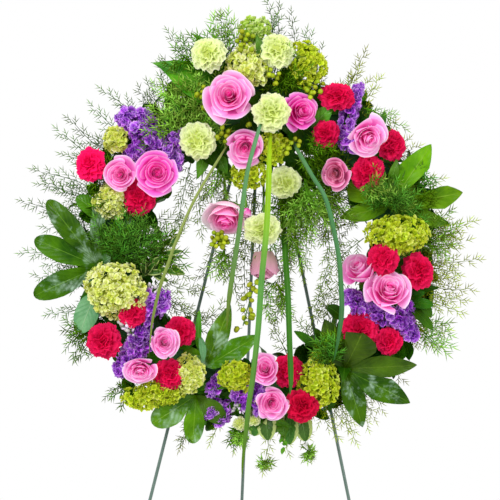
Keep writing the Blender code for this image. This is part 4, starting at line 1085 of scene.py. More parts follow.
# finish: (the same share for its petals, {number: (how far it looks to +x, how far to +y)})
CARNATIONS = {
    "lime_carnation": (0.975, {
        1: (-0.2, 0.35), 2: (0.1, 0.3), 3: (0.05, 0), 4: (-0.1, -0.1), 5: (0.15, -0.15), 6: (0, -0.15),
    }),
    "red_carnation": (RED_TEETH, {
        1: (-0.6, 0.1), 2: (0.05, -0.2), 3: (0.2, 0.25), 6: (0.1, -0.1), 7: (-0.1, 0.2), 8: (0.4, 0.1),
        9: (-0.2, 0.1), 11: (-0.4, -0.1), 14: (0.1, -0.1), 16: (0.05, -0.15),
    }),
}
# the carnations in another red
OTHER_REDS = {"red_carnation_1": "bright_red_carnation", "red_carnation_16": "deep_red_carnation"}
# number: (how far it looks to +x, how far to +y, share of cream florets, finish)
HYDRANGEAS = {
    1: (0, 0.4, 0.5, "pale_hydrangea"), 2: (0.35, 0.4, 0.1, "bright_hydrangea"),
    3: (0.15, 0.15, 0.3, "bright_hydrangea"), 4: (-0.15, 0.05, 0.6, "lime_hydrangea"),
    5: (-0.1, -0.5, 0.15, "bright_hydrangea"), 6: (0.1, 0, 0.25, "bright_hydrangea"),
}
# the flowers that hang in the opening, and the x of their stems in the top of the ring
HANGING = {"rose_8": -0.078, "rose_9": 0.013, "lime_carnation_5": 0.078, "lime_carnation_6": 0.048,
           "small_bud": -0.02}
HANGING_UP = RING_RADIUS - 0.018
HANGING_DEPTH = 0.036
ROSE_STEM = 0.0024
CARNATION_STEM = 0.0019


def foot_of(name):
    return (HANGING[name], HANGING_UP, HANGING_DEPTH) if name in HANGING else None


def build_roses():
    for number, (look_x, look_y, petals, openness, cup, size, deep, finish) in ROSES.items():
        name = f"rose_{number}"
        rng = randomness(name)
        centre, axes, wide, tall = head_of(name, (look_x, look_y), ROSE_FRONT)
        mean = (wide + tall) / 2
        radius = mean * size
        rolled = np.array(Matrix.Rotation(rng.uniform(0, 2 * pi), 3, "Z"))
        stretched = axes * np.array((wide / mean, tall / mean, deep)) @ rolled
        maker = Maker()
        add_rose(maker, rng, centre, stretched, radius, petals, openness, cup)
        add_calyx(maker, rng, centre, stretched, radius)
        add_stem(maker, centre, axes, radius, 0.7, ROSE_STEM, foot_of(name))
        add_piece(f"{name}_bloom", maker, [finish, "sepal"], [name])


def add_whole_carnation(maker, rng, centre, axes, radius, teeth, foot=None):
    """A carnation with its long green calyx and its stem."""
    add_carnation(maker, rng, centre, axes, radius, teeth)
    path = centre - axes[:, 2] * np.array([[1.12], [1.0], [0.75], [0.45], [0.3]]) * radius
    add_rod(maker, path, np.array((0.07, 0.17, 0.22, 0.27, 0.3)) * radius, 8, (0, 0.8, 0.5), GREEN)
    add_stem(maker, centre, axes, radius, 1.05, CARNATION_STEM, foot)


def build_carnations():
    for finish, (teeth, looks) in CARNATIONS.items():
        for number, look in looks.items():
            name = f"{finish}_{number}"
            centre, axes, wide, tall = head_of(name, look, CARNATION_FRONT)
            mean = (wide + tall) / 2
            axes = axes * np.array((wide / mean, tall / mean, 1.0))
            maker = Maker()
            add_whole_carnation(maker, randomness(name), centre, axes, mean * 1.06, teeth, foot_of(name))
            add_piece(f"{name}_bloom", maker, [OTHER_REDS.get(name, finish), "stem"], [name])


def build_hydrangeas():
    for number, (look_x, look_y, cream, finish) in HYDRANGEAS.items():
        name = f"hydrangea_{number}"
        centre, axes, wide, tall = head_of(name, (look_x, look_y), HYDRANGEA_FRONT)
        maker = Maker()
        add_hydrangea(maker, randomness(name), centre, axes, wide * 0.98, tall * 0.98, cream)
        add_stem(maker, centre, axes, (wide + tall) / 2, 0.3, 0.003)
        add_piece(f"{name}_bloom", maker, [finish, "stem"], [name])


# name: its spikes, each with (thickness, share of its length that has buds, places along it)
STOCKS = {
    "stock_1": [
        (19, 0, [(-150, 150, 80), (-160, 185, 90), (-150, 222, 92)]),
        (20, 0, [(-160, 165, 80), (-195, 195, 92), (-225, 228, 92), (-252, 252, 85)]),
        (17, 0, [(-185, 170, 75), (-220, 180, 85), (-235, 165, 88)]),
        (14, 0, [(-170, 205, 80), (-190, 235, 88), (-215, 252, 85)]),
    ],
    "stock_2": [
        (17, 0, [(172, 190, 80), (166, 222, 88), (176, 258, 86)]),
        (12, 0, [(178, 250, 75), (186, 280, 84), (190, 302, 84)]),
    ],
    "stock_3": [
        (18, 0.15, [(-232, -196, 80), (-214, -150, 98), (-197, -100, 100), (-186, -66, 96)]),
        (19, 0, [(-205, -170, 85), (-232, -198, 92), (-256, -232, 90)]),
        (12, 0.85, [(-222, -170, 100), (-236, -146, 116), (-248, -132, 120)]),
        (13, 0, [(-188, -120, 85), (-175, -98, 92), (-168, -80, 90)]),
    ],
    "stock_4": [
        (18, 0, [(285, -160, 80), (268, -128, 94), (226, -126, 98), (190, -105, 90)]),
        (16, 0, [(215, -120, 80), (188, -100, 90), (172, -78, 86)]),
        (16, 0, [(262, -150, 70), (278, -115, 85), (282, -98, 88)]),
    ],
    "low_stock": [
        (15, 0, [(-60, -235, 60), (-78, -254, 85), (-88, -262, 85)]),
        (17, 0.35, [(-20, -250, 60), (-28, -282, 92), (-34, -302, 92)]),
        (14, 0, [(0, -250, 60), (6, -276, 86), (10, -300, 84)]),
        (9, 0, [(-70, -270, 55), (-80, -300, 74), (-92, -310, 74)]),
        (9, 0, [(-50, -280, 55), (-62, -312, 70), (-72, -322, 70)]),
    ],
}


def build_stocks():
    for name, spikes in STOCKS.items():
        rng = randomness(name)
        maker = Maker()
        for thick, buds, places in spikes:
            points = np.array([seen_at(*place) for place in places])
            add_stock_spike(maker, rng, points, thick / MM, buds)
            foot = curve_through([stem_foot(points[0]), points[0]], 4)
            add_rod(maker, foot, STOCK_STEM, 5, (0, 0.3, 0.4), GREEN)
        replaces = [name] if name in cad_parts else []
        add_piece(f"{name}_spikes", maker, ["stock", "stem", "pale_bud"], replaces)


# ---- Flowers that only the looks have ----
# number: (x, y, z, radius, how far it looks to +x, how far to +y)
SMALL_RED_CARNATIONS = {
    4: (129, 212, 106, 27, -0.1, -0.2), 5: (256, 192, 104, 29, 0.5, 0),
    10: (248.5, -171.5, 94, 27, 0.2, -0.2), 12: (-229, -118, 126, 26, 0, 0),
    13: (-138, -152, 98, 29, 0.15, 0.2), 15: (60, -226, 100, 31, 0.1, 0.1),
}
# a small bud that hangs in the opening
SMALL_BUD = (-18, 64, 94)
SMALL_BUD_RADIUS = 0.0145
# number: (x, y, z, half width, half height, how far it looks to +x, how far to +y, share of cream, finish)
SMALL_HYDRANGEAS = {
    7: (-15, 337, 112, 34, 34, 0, 0.2, 0.6, "lime_hydrangea"),
    8: (31.5, 189, 112, 23, 24, 0, 0, 0.2, "bright_hydrangea"),
    9: (-13, 139, 96, 27, 24, 0, -0.3, 0.1, "bright_hydrangea"),
    10: (-258, 202, 88, 18, 21, -0.3, 0.2, 0.2, "lime_hydrangea"),
    11: (-266, 90, 92, 30, 28, -0.1, -0.2, 0.6, "lime_hydrangea"),
    12: (-120, -229.4, 104, 23.5, 31, 0.1, 0, 0.25, "lime_hydrangea"),
    13: (-37, -236, 100, 26, 24, 0, 0, 0.2, "bright_hydrangea"),
    14: (-176, -262, 94, 34, 21, 0, -0.5, 0.1, "bright_hydrangea"),
}
# cream florets near the bottom: (x, y, z, radius)
CREAM_FLORETS = [(-30, -322, 82, 14), (-4, -316, 82, 12), (0, -286, 90, 8)]


def build_extra_flowers():
    maker = Maker()
    for number, (x, y, z, radius, *look) in SMALL_RED_CARNATIONS.items():
        rng = randomness(f"red_carnation_{number}")
        add_whole_carnation(maker, rng, seen_at(x, y, z), axes_for((*look, 1.0)), radius / MM, RED_TEETH)
    add_piece("small_red_carnations", maker, ["red_carnation", "stem"])
    for finish in ("lime_hydrangea", "bright_hydrangea"):
        maker = Maker()
        for number, (x, y, z, wide, tall, look_x, look_y, cream, own) in SMALL_HYDRANGEAS.items():
            if own == finish:
                wide, tall = wide / MM, tall / MM
                axes = axes_for((look_x, look_y, 1.0))
                centre = seen_at(x, y, z)
                rng = randomness(f"hydrangea_{number}")
                add_hydrangea(maker, rng, centre, axes, wide, tall, cream, floret=0.0072, reach=1.1)
                add_stem(maker, centre, axes, (wide + tall) / 2, 0.3, 0.0026)
        add_piece(f"small_{finish}s", maker, [finish, "stem"])
    maker = Maker()
    centre = seen_at(*SMALL_BUD)
    axes = axes_for((0.2, -3.0, 1.0))
    add_rose(maker, randomness("small_bud"), centre, axes, SMALL_BUD_RADIUS, 13, 0.7, 0.95)
    add_calyx(maker, randomness("small_bud"), centre, axes, SMALL_BUD_RADIUS)
    add_stem(maker, centre, axes, SMALL_BUD_RADIUS, 0.7, 0.0018, foot_of("small_bud"))
    add_piece("small_rose_bud", maker, ["pale_rose", "sepal"])
    maker = Maker()
    rng = randomness("cream_florets")
    axes = axes_for((0.0, 0.1, 1.0))
    for x, y, z, radius in CREAM_FLORETS:
        add_carnation(maker, rng, seen_at(x, y, z), axes, radius / MM, 0.98, 14)
        add_stem(maker, seen_at(x, y, z), axes, radius / MM, 0.4, 0.0015)
    add_piece("cream_florets", maker, ["lime_carnation", "stem"])


# clusters of berries: (x, y, z, how far they spread, how many)
BERRIES = [
    (-58, 209, 122, 17, 7), (-15, 231, 140, 4, 1), (-92.5, 257, 118, 8, 2), (-104, 281, 112, 8, 2),
    (24, 332, 128, 10, 3), (106, 300, 118, 20, 9), (100, 290, 124, 10, 3), (78, 200, 118, 10, 3),
    (-22, 388, 112, 18, 9), (-24, 364, 130, 17, 9), (56, 186, 118, 10, 3), (62, 196, 118, 10, 3),
    (-68, 16, 104, 17, 15), (36, 316, 122, 12, 4), (-100, 300, 105, 10, 3),
]
# a strand of berries that hangs through these places
STRAND_BERRIES = 17
BERRY_STRAND = [(6, -50, 70), (-6, -78, 76), (-16, -112, 78), (-26, -150, 74)]


def add_berry(maker, rng, centre, out):
    """A longish berry that sits in a small green star of sepals."""
    axes = axes_for(out + rng.normal(0, 0.2, 3))
    size = rng.uniform(0.004, 0.0051)
    tone = (0, rng.uniform(0.2, 1.0), rng.uniform())
    add_bead(maker, BERRY_BEAD, centre, axes, (1.0, 1.0, 1.35), size, tone)
    shape = round_petal(3, 3, 0.5, 0.3)
    add_floret(maker, rng, centre - axes[:, 2] * size * 1.05, axes, size * 1.25, 5, 0.35, shape, 0.0)


def build_berries():
    maker = Maker()
    rng = randomness("berries")
    for x, y, z, spread, count in BERRIES:
        middle = seen_at(x, y, z)
        root = middle - 0.045 * OUT
        for k in range(count):
            away = spread / MM * sqrt((k + 0.3) / count)
            spot = middle + polar(away, k * GOLDEN_TURN, rng.uniform(-0.008, 0.008))
            add_berry(maker, rng, spot, unit(spot - root))
            add_rod(maker, curve_through([root, (root + spot) / 2, spot], 4), 0.0008, 4, (0, 0.2, 0.5), GREEN)
    strand = curve_through([seen_at(*place) for place in BERRY_STRAND], 30)
    add_rod(maker, strand[::3], 0.001, 4, (0, 0.2, 0.4), GREEN)
    for k in range(STRAND_BERRIES):
        at = strand[int(29 * (k + 0.5) / STRAND_BERRIES)]
        side = unit(rng.normal(0, 1, 3) * np.array((1, 0.6, 0.7)))
        spot = at + side * rng.uniform(0.006, 0.013)
        add_berry(maker, rng, spot, unit(side + np.array((0.0, -0.6, 0.2))))
        add_rod(maker, np.stack([at, spot]), 0.0006, 3, (0, 0.2, 0.5), GREEN)
    add_piece("hypericum_berries", maker, ["berry", "stem"])


# ---- Leaves ----
OLIVE = 2  # the part of a palmate leaf that is darker
# which leaf: (hub, lobes), each lobe with (bearing in degrees, length, half width, rise of the tip,
# outline), and OLIVE if it is
FATSIA_LEAVES = {
    "left": ((-289, -33, 72), [
        (92, 129, 18, 12, fatsia_lobe), (128, 153, 22, 0, blunt_lobe), (157, 128, 23, -6, blunt_lobe),
        (204, 130, 24, -4, blunt_lobe), (257, 125, 22, -8, blunt_lobe), (17, 104, 18, 4, fatsia_lobe),
        (58, 112, 20, 10, fatsia_lobe),
    ]),
    "upper_right": ((246, 78, 72), [
        (56, 138, 34, 14, fatsia_lobe), (32, 72, 24, 0, blunt_lobe), (11, 138, 36, 10, fatsia_lobe),
        (-16, 122, 18, -14, fatsia_lobe), (192, 90, 21, -4, fatsia_lobe), (152, 86, 30, 16, blunt_lobe),
        (110, 60, 20, 4, blunt_lobe),
    ]),
    "lower_right": ((163, -222, 74), [
        (3, 134, 25, 4, fatsia_lobe, OLIVE), (-27, 137, 31, -4, fatsia_lobe),
        (-72, 112, 26, -6, fatsia_lobe), (66, 72, 38, 44, square_lobe, OLIVE),
        (112, 98, 30, 10, fatsia_lobe, OLIVE),
    ]),
    "lower_left": ((-111, -270, 70), [
        (213, 95, 26, 4, blunt_lobe), (266, 88, 20, 0, blunt_lobe), (317, 70, 20, 4, blunt_lobe, OLIVE),
    ]),
    "middle": ((-94, -218, 74), [
        (31, 112, 26, 14, fatsia_lobe), (68, 122, 24, 16, fatsia_lobe), (140, 50, 16, 4, blunt_lobe),
    ]),
}
# name: (finish, leaves), each leaf with (base, tip, half width, outline)
SINGLE_LEAVES = {
    "broad_leaves": ("broad_leaf", [
        ((-66, 268, 66), (-194, 345, 86), 38, ovate), ((-90, 362, 70), (-121, 400, 80), 11, ovate),
        ((22, 322, 80), (-2, 400, 100), 17, ovate), ((20, 338, 116), (0, 398, 122), 13, ovate),
        ((104, 226, 84), (146, 268, 100), 19, ovate), ((-96, 178, 70), (-110, 128, 80), 13, ovate),
        ((-70, 172, 66), (-52, 138, 72), 13, ovate), ((-140, -262, 70), (-52, -258, 92), 8, lance),
        ((250, 124, 88), (262, 170, 98), 10, ovate), ((262, 126, 86), (280, 160, 92), 8, ovate),
        ((-106, -190, 75), (-104, -112, 90), 6, lance), ((50, -318, 74), (54, -352, 84), 13, ovate),
        ((32, -318, 70), (66, -330, 86), 8, ovate), ((-255, -200, 60), (-228, -252, 72), 12, ovate),
        ((-292, 60, 68), (-332, 96, 74), 17, rounded),
    ]),
    "dark_leaves": ("dark_leaf", [
        ((62, 158, 60), (64, 106, 76), 16, ovate), ((-108, -160, 70), (-148, -184, 82), 13, rounded),
        ((62, 180, 50), (80, 110, 60), 18, ovate), ((28, 190, 50), (84, 160, 62), 18, ovate),
        ((6, 190, 50), (40, 150, 62), 18, ovate), ((-50, 215, 50), (-20, 165, 64), 18, ovate),
        ((14, 232, 50), (46, 196, 64), 18, ovate), ((-56, 330, 60), (-36, 370, 84), 18, ovate),
        ((-92, 352, 52), (-60, 302, 70), 20, ovate), ((-90, 212, 50), (-50, 152, 62), 22, ovate),
        ((-20, 252, 50), (18, 192, 62), 22, ovate), ((70, 244, 50), (102, 190, 62), 20, ovate),
        ((118, 180, 50), (142, 126, 60), 18, ovate), ((66, 222, 50), (102, 176, 62), 18, ovate),
        ((-66, 160, 60), (-46, 122, 70), 14, ovate), ((92, 170, 50), (108, 108, 60), 18, ovate),
        ((-100, 190, 60), (-70, 146, 76), 18, ovate), ((-96, 200, 60), (-94, 148, 72), 16, ovate),
        ((46, 330, 60), (64, 296, 86), 15, ovate), ((120, -190, 70), (70, -152, 80), 9, lance),
        ((126, -180, 70), (90, -176, 84), 8, lance), ((122, -170, 70), (108, -146, 80), 7, lance),
        ((160, -126, 70), (132, -106, 78), 12, rounded), ((286, -88, 88), (314, -80, 104), 7, rounded),
        ((288, -98, 90), (330, -104, 106), 10, rounded), ((290, -110, 88), (328, -150, 104), 10, rounded),
        ((298, -94, 84), (326, -126, 98), 10, rounded), ((228, -20, 76), (236, 6, 88), 7, rounded),
        ((262, -34, 90), (276, -18, 100), 6, rounded), ((-196, -254, 50), (-152, -280, 60), 18, rounded),
        ((-240, -236, 50), (-226, -272, 60), 12, rounded),
        ((-196, -262, 50), (-226, -288, 56), 14, rounded), ((-76, 210, 44), (-40, 168, 56), 18, rounded),
    ]),
    "variegated_leaves": ("variegated", [
        ((6, -292, 62), (-4, -346, 70), 18, rounded), ((18, -298, 62), (22, -354, 74), 18, rounded),
        ((66, -300, 62), (62, -362, 68), 17, rounded), ((80, -300, 60), (92, -356, 64), 17, rounded),
        ((44, -300, 60), (36, -340, 72), 12, rounded),
    ]),
    "round_blue_leaves": ("blue_leaf", [
        ((-296, -86, 80), (-324, -156, 84), 22, rounded), ((-286, -70, 70), (-300, -130, 74), 16, rounded),
        ((-104, -160, 86), (-98, -210, 94), 7, lance),
    ]),
}
# name: (finish, twigs), each twig with (root, tip, how many leaves, their length, their half width)
TWIGS = {
    "pittosporum": ("variegated", [
        ((-212, -52, 70), (-160, 2, 88), 9, 44, 6.2), ((-206, -48, 66), (-156, -34, 80), 8, 40, 6.2),
        ((-206, -40, 64), (-176, 14, 80), 7, 38, 5.8),
    ]),
    "small_leaved_twigs": ("broad_leaf", [
        ((46, -330, 70), (52, -366, 92), 8, 16, 3.8), ((-290, -110, 66), (-318, -158, 70), 10, 18, 3.6),
        ((0, -300, 66), (-22, -352, 72), 9, 18, 4), ((240, 110, 80), (262, 150, 92), 8, 18, 4),
    ]),
}


# the leaves with a finish of their own
FATSIA_FINISH = {"lower_left": "glossy_fatsia", "middle": "glossy_fatsia", "upper_right": "light_fatsia"}


def add_twig(maker, rng, root, tip, count, length, half_width):
    """Narrow leaves all round a twig."""
    root, tip = seen_at(*root), seen_at(*tip)
    path = curve_through([stem_foot(root), root, tip], 24)
    add_rod(maker, path[::3], 0.0011, 4, (0, 0.3, 0.5), GREEN)
    along = unit(tip - root)
    axes = axes_for(along)
    for k in range(count):
        at = path[12 + int(11 * k / max(1, count - 1))]
        side = around(axes, k * GOLDEN_TURN)
        way = unit(along * 0.9 + side * 0.8 + 0.25 * OUT)
        end = at + way * (length / MM * rng.uniform(0.7, 1.1))
        add_leaf(maker, rng, at, end, half_width / MM, lance, side * 0.4 + (0, 0.2, 1.0), rows=7, columns=5)


def add_single_leaf(maker, rng, base, tip, half_width, outline):
    base, tip = seen_at(*base), seen_at(*tip)
    facing = (rng.normal(0, 0.25), rng.normal(0, 0.25) + 0.15, 1.0)
    add_leaf(maker, rng, base, tip, half_width / MM, outline, facing, rows=13, columns=9)
    add_rod(maker, curve_through([stem_foot(base), base], 3), 0.0012, 4, (0, 0.3, 0.5), GREEN)


def build_leaves():
    for side, (hub, lobes) in FATSIA_LEAVES.items():
        name = f"fatsia_leaf_{side}"
        maker = Maker()
        add_fatsia(maker, randomness(name), seen_at(*hub), lobes)
        finish = FATSIA_FINISH.get(side, "fatsia")
        add_piece(f"{name}_blade", maker, [finish, "stem", "olive_fatsia"], [name])
    build_groups(SINGLE_LEAVES, add_single_leaf, ["stem"])
    build_groups(TWIGS, add_twig, ["stem"])


# leaves laid over the front: (how many, radius, height, lean out of the ring, length, half width, outline)
GREENERY_ROWS = [
    (54, 300, 30, 0.75, 44, 14, rounded), (48, 262, 56, 0.25, 60, 17, ovate),
    (46, 232, 36, -0.8, 46, 14, rounded), (46, 288, 52, 0.6, 56, 14, ovate),
    (58, 300, 8, 1.6, 36, 13, ovate), (50, 222, 8, -1.6, 36, 13, rounded),
]


# leaves laid on the ring's walls: (how many, radius, 1 for the outer wall or -1 for the inner one)
WALL_ROWS = [(150, 310, 1), (96, 220, -1)]


def ring_place(rng, k, count):
    """Directions away from the ring's middle and round the ring, for the k-th of count leaves."""
    angle = 2 * pi * (k + rng.uniform(-0.3, 0.3)) / count
    return polar(1.0, angle), np.array((-sin(angle), cos(angle), 0.0))


def build_greenery():
    """The dark leaves laid all over the foam, under the flowers."""
    maker = Maker()
    for count, radius, way_out in WALL_ROWS:
        rng = randomness(f"wall{way_out}")
        for k in range(count):
            away, side = ring_place(rng, k, count)
            out = away * way_out
            base = away * (radius / MM) + OUT * rng.uniform(0.014, 0.046)
            way = unit(side * rng.normal(0, 0.9) + out * 0.35 + OUT * rng.uniform(-0.4, 0.8))
            tip = base + way * rng.uniform(0.034, 0.052)
            tip[2] = max(tip[2], 0.004)
            half_width = rng.uniform(0.01, 0.015)
            facing = out + rng.normal(0, 0.3, 3)
            add_leaf(maker, rng, base, tip, half_width, rounded, facing, arch=0.1, rows=9, columns=5)
    for row, (count, radius, height, lean, length, half_width, outline) in enumerate(GREENERY_ROWS):
        rng = randomness(f"greenery{row}")
        for k in range(count):
            out, side = ring_place(rng, k, count)
            base = out * (radius / MM - 0.012 * lean) + OUT * (height / MM)
            way = unit(out * lean + side * rng.normal(0, 0.7) + OUT * rng.uniform(0.05, 0.45))
            tip = base + way * (length / MM * rng.uniform(0.75, 1.2))
            facing = OUT + out * 0.3 * lean + rng.normal(0, 0.2, 3)
            half = half_width / MM * rng.uniform(0.8, 1.15)
            add_leaf(maker, rng, base, tip, half, outline, facing, arch=0.1, rows=9, columns=5)
    add_piece("under_leaves", maker, ["dark_leaf", "stem"])


# ---- Grass ----
# name: (half width, finish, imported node, places)
BLADES = {
    "lily_grass_blade_1": (5.2, "lime_blade", ["lily_grass_1"], [
        (28, 235, 100), (24.5, 170, 186), (23.5, 116, 204), (19.2, 32, 214), (10.7, -54, 212),
        (5.5, -131, 206), (1.8, -170, 203), (-6.1, -240.5, 197), (-13.3, -288.6, 190), (-17.9, -335, 184),
        (-24, -390, 178), (-26.1, -423.7, 174),
    ]),
    "lily_grass_blade_2": (4.5, "teal_blade", ["lily_grass_2"], [
        (70, 200, 80), (75.9, 185, 120), (106, 133, 160), (125.4, 101.8, 178), (138.2, 62.9, 182),
        (153.2, -11.1, 182), (157.6, -64.8, 176), (159.1, -116.6, 164), (152.4, -168.4, 140),
        (144.3, -207.2, 110),
    ]),
    "grass_blade_3": (2.9, "olive_blade", [], [
        (-48, 200, 90), (-72.2, 161, 130), (-114.7, 88.8, 160), (-148.6, 11.1, 170), (-161, -24, 172),
        (-177.6, -72.2, 170), (-191.1, -131.4, 160), (-198, -199.8, 140),
    ]),
    "grass_blade_4": (4.4, "blue_blade", [], [
        (11.1, 240, 150), (-0.9, 199.8, 186), (-14.8, 148, 200), (-23.1, 96.2, 206), (-31.5, 31.5, 206),
        (-44.4, -53.7, 196), (-50.9, -103.6, 180), (-54, -150, 150),
    ]),
    "grass_blade_5": (5.2, "green_blade", [], [
        (47, 100, 40), (50, 45, 60), (55, -20, 120), (59.2, -83.3, 150), (62.2, -170.2, 145),
        (64.8, -240.5, 138), (62.9, -270, 132),
    ]),
}


def build_blades():
    for name, (half_width, finish, replaces, places) in BLADES.items():
        maker = Maker()
        add_blade(maker, randomness(name), places, half_width / MM)
        add_piece(name, maker, [finish], replaces)


# ---- Ferns ----
# sprays round the outside: (finish, how coarse the needles are, how many sprays go to each tip, tips),
# each tip with (x, y, z, length of the side branches)
OUTER_SPRAYS = {
    "left_fern_sprays": ("fern", 1, 2, [
        (-403, 143, 50, 34), (-426, 87, 50, 36), (-363, 217, 55, 34), (-342, 238, 50, 30),
        (-281, 292, 60, 38), (-300, 262, 70, 34), (-426, -9, 50, 40), (-352, 172, 55, 34),
        (-385, 40, 55, 36), (-345, -178, 60, 36), (-318, -196, 55, 32), (-378, -120, 45, 34),
        (-272, -268, 60, 26), (-395, 118, 45, 32), (-400, -50, 40, 36),
    ]),
    "top_fern_sprays": ("fern", 1, 2, [
        (-213, 292, 75, 36), (-160, 398, 60, 34), (-135, 385, 65, 34), (-62, 424, 100, 32),
        (-50, 405, 95, 30), (24, 458, 60, 30), (42, 444, 60, 30), (66, 432, 60, 30), (94, 398, 65, 28),
        (-165, 345, 55, 34),
    ]),
    "right_fern_sprays": ("yellow_fern", 1.1, 2, [
        (206, 307, 60, 26), (188, 330, 55, 28), (204, 266, 70, 24), (254, 232, 75, 30), (280, 200, 70, 28),
        (410, -20, 50, 40), (372, 30, 55, 40), (400, 50, 50, 34), (352, -150, 55, 36), (332, -176, 55, 30),
        (396, -76, 50, 40), (378, -116, 50, 36), (360, -30, 65, 40), (340, 130, 50, 30), (390, 15, 60, 36),
        (366, 2, 70, 34), (350, 50, 65, 32), (384, -94, 60, 34), (346, -56, 70, 34), (372, -46, 60, 34),
        (200, 362, 55, 24), (228, 312, 55, 24), (296, 188, 70, 24),
    ]),
    "low_fern_sprays": ("yellow_fern", 1, 1, [
        (232, -296, 60, 34), (206, -326, 55, 34), (184, -352, 55, 34), (150, -345, 60, 34),
        (-140, -362, 50, 20), (-82, -352, 55, 20), (-38, -366, 60, 26), (14, -404, 55, 18),
        (98, -380, 55, 24), (60, -372, 60, 20), (270, -240, 55, 26), (218, -310, 60, 34),
        (168, -330, 60, 34), (196, -300, 55, 30),
    ]),
}
FERN_ROOT = 0.29  # how far from the ring's middle the outside sprays go into the foam
FERN_ROOT_HEIGHT = 0.04
# sprays that hang in the opening and lie over the flowers: (finish, sprays), each spray with
# (root, tip, length of the side branches)
INNER_SPRAYS = {
    "upper_hanging_fern": ("hanging_fern", [
        ((-120, 160, 50), (-148, 28, 56), 30), ((-92, 165, 50), (-100, 30, 60), 30),
        ((-60, 140, 50), (-112, -70, 60), 34), ((-30, 130, 50), (-52, -50, 56), 32),
        ((0, 120, 50), (-20, -110, 50), 32), ((20, 120, 50), (18, -75, 50), 30),
        ((45, 110, 50), (50, -100, 60), 32), ((75, 140, 50), (90, -50, 62), 36),
        ((100, 140, 50), (130, -5, 66), 36), ((118, 130, 50), (158, -12, 64), 34),
        ((90, 130, 50), (108, -120, 60), 36), ((130, 120, 50), (176, 50, 64), 28),
        ((60, 140, 50), (74, 10, 70), 30), ((-80, 150, 50), (-75, 40, 50), 28),
        ((55, 120, 50), (62, -60, 75), 28), ((70, 120, 50), (82, -30, 80), 30),
        ((40, 100, 50), (40, -85, 70), 26), ((-36, 100, 50), (-40, -20, 60), 24),
        ((-30, 20, 60), (-36, -90, 60), 22), ((34, 0, 60), (30, -150, 60), 26),
    ]),
    "side_hanging_fern": ("hanging_fern", [
        ((-205, 20, 50), (-130, -50, 62), 32), ((-205, -10, 50), (-95, -80, 60), 34),
        ((-195, 55, 50), (-118, 50, 60), 30), ((-200, -60, 50), (-110, -125, 60), 32),
        ((-190, -90, 50), (-75, -130, 56), 30), ((200, 20, 50), (125, -60, 62), 32),
        ((200, -20, 50), (105, -105, 60), 32), ((190, -80, 50), (100, -140, 60), 32),
        ((190, 50, 50), (112, 20, 60), 30), ((110, -190, 50), (72, -128, 60), 26),
        ((60, -200, 50), (30, -140, 56), 24), ((150, -170, 50), (122, -82, 62), 30),
        ((-150, -170, 50), (-60, -100, 56), 30), ((-190, -20, 50), (-140, 30, 60), 26),
    ]),
    "fern_tufts": ("light_fern", [
        ((-120, 240, 70), (-186, 300, 100), 30), ((-120, 240, 70), (-190, 255, 104), 30),
        ((-120, 240, 70), (-150, 330, 100), 30), ((-110, 240, 70), (-110, 310, 106), 28),
        ((-120, 230, 70), (-160, 200, 104), 26), ((-110, 250, 70), (-140, 270, 116), 26),
        ((-100, 220, 70), (-70, 230, 104), 24), ((-110, 230, 72), (-105, 190, 100), 24),
        ((240, 90, 80), (262, 120, 104), 22), ((240, 90, 80), (230, 122, 104), 20),
        ((246, 80, 80), (282, 72, 104), 22), ((226, 110, 90), (222, 146, 120), 16),
        ((130, 150, 70), (112, 178, 100), 22), ((120, 150, 70), (88, 160, 98), 22),
        ((205, 262, 90), (272, 226, 84), 18), ((200, 262, 86), (252, 250, 80), 16),
    ]),
    "dark_fern_tufts": ("fern", [
        ((-270, -30, 80), (-230, 50, 100), 34), ((-260, -35, 80), (-205, 20, 98), 32),
        ((-270, -20, 80), (-262, 60, 98), 30), ((-255, -35, 80), (-215, -20, 96), 28),
        ((-262, -30, 80), (-240, 30, 110), 32), ((55, 300, 80), (92, 330, 110), 26),
        ((55, 300, 80), (52, 344, 110), 24), ((60, 290, 80), (90, 300, 112), 22),
        ((100, 170, 70), (140, 178, 100), 26), ((95, 150, 70), (122, 120, 96), 26),
        ((80, 170, 70), (82, 110, 90), 26), ((-110, -320, 60), (-132, -352, 76), 16),
        ((-30, -330, 60), (-40, -360, 80), 16), ((146, -205, 90), (116, -178, 104), 20),
        ((144, -215, 92), (130, -182, 106), 18), ((110, 210, 80), (104, 196, 104), 14),
        ((-60, 330, 80), (-80, 340, 100), 22), ((30, 400, 70), (36, 424, 80), 16),
    ]),
}


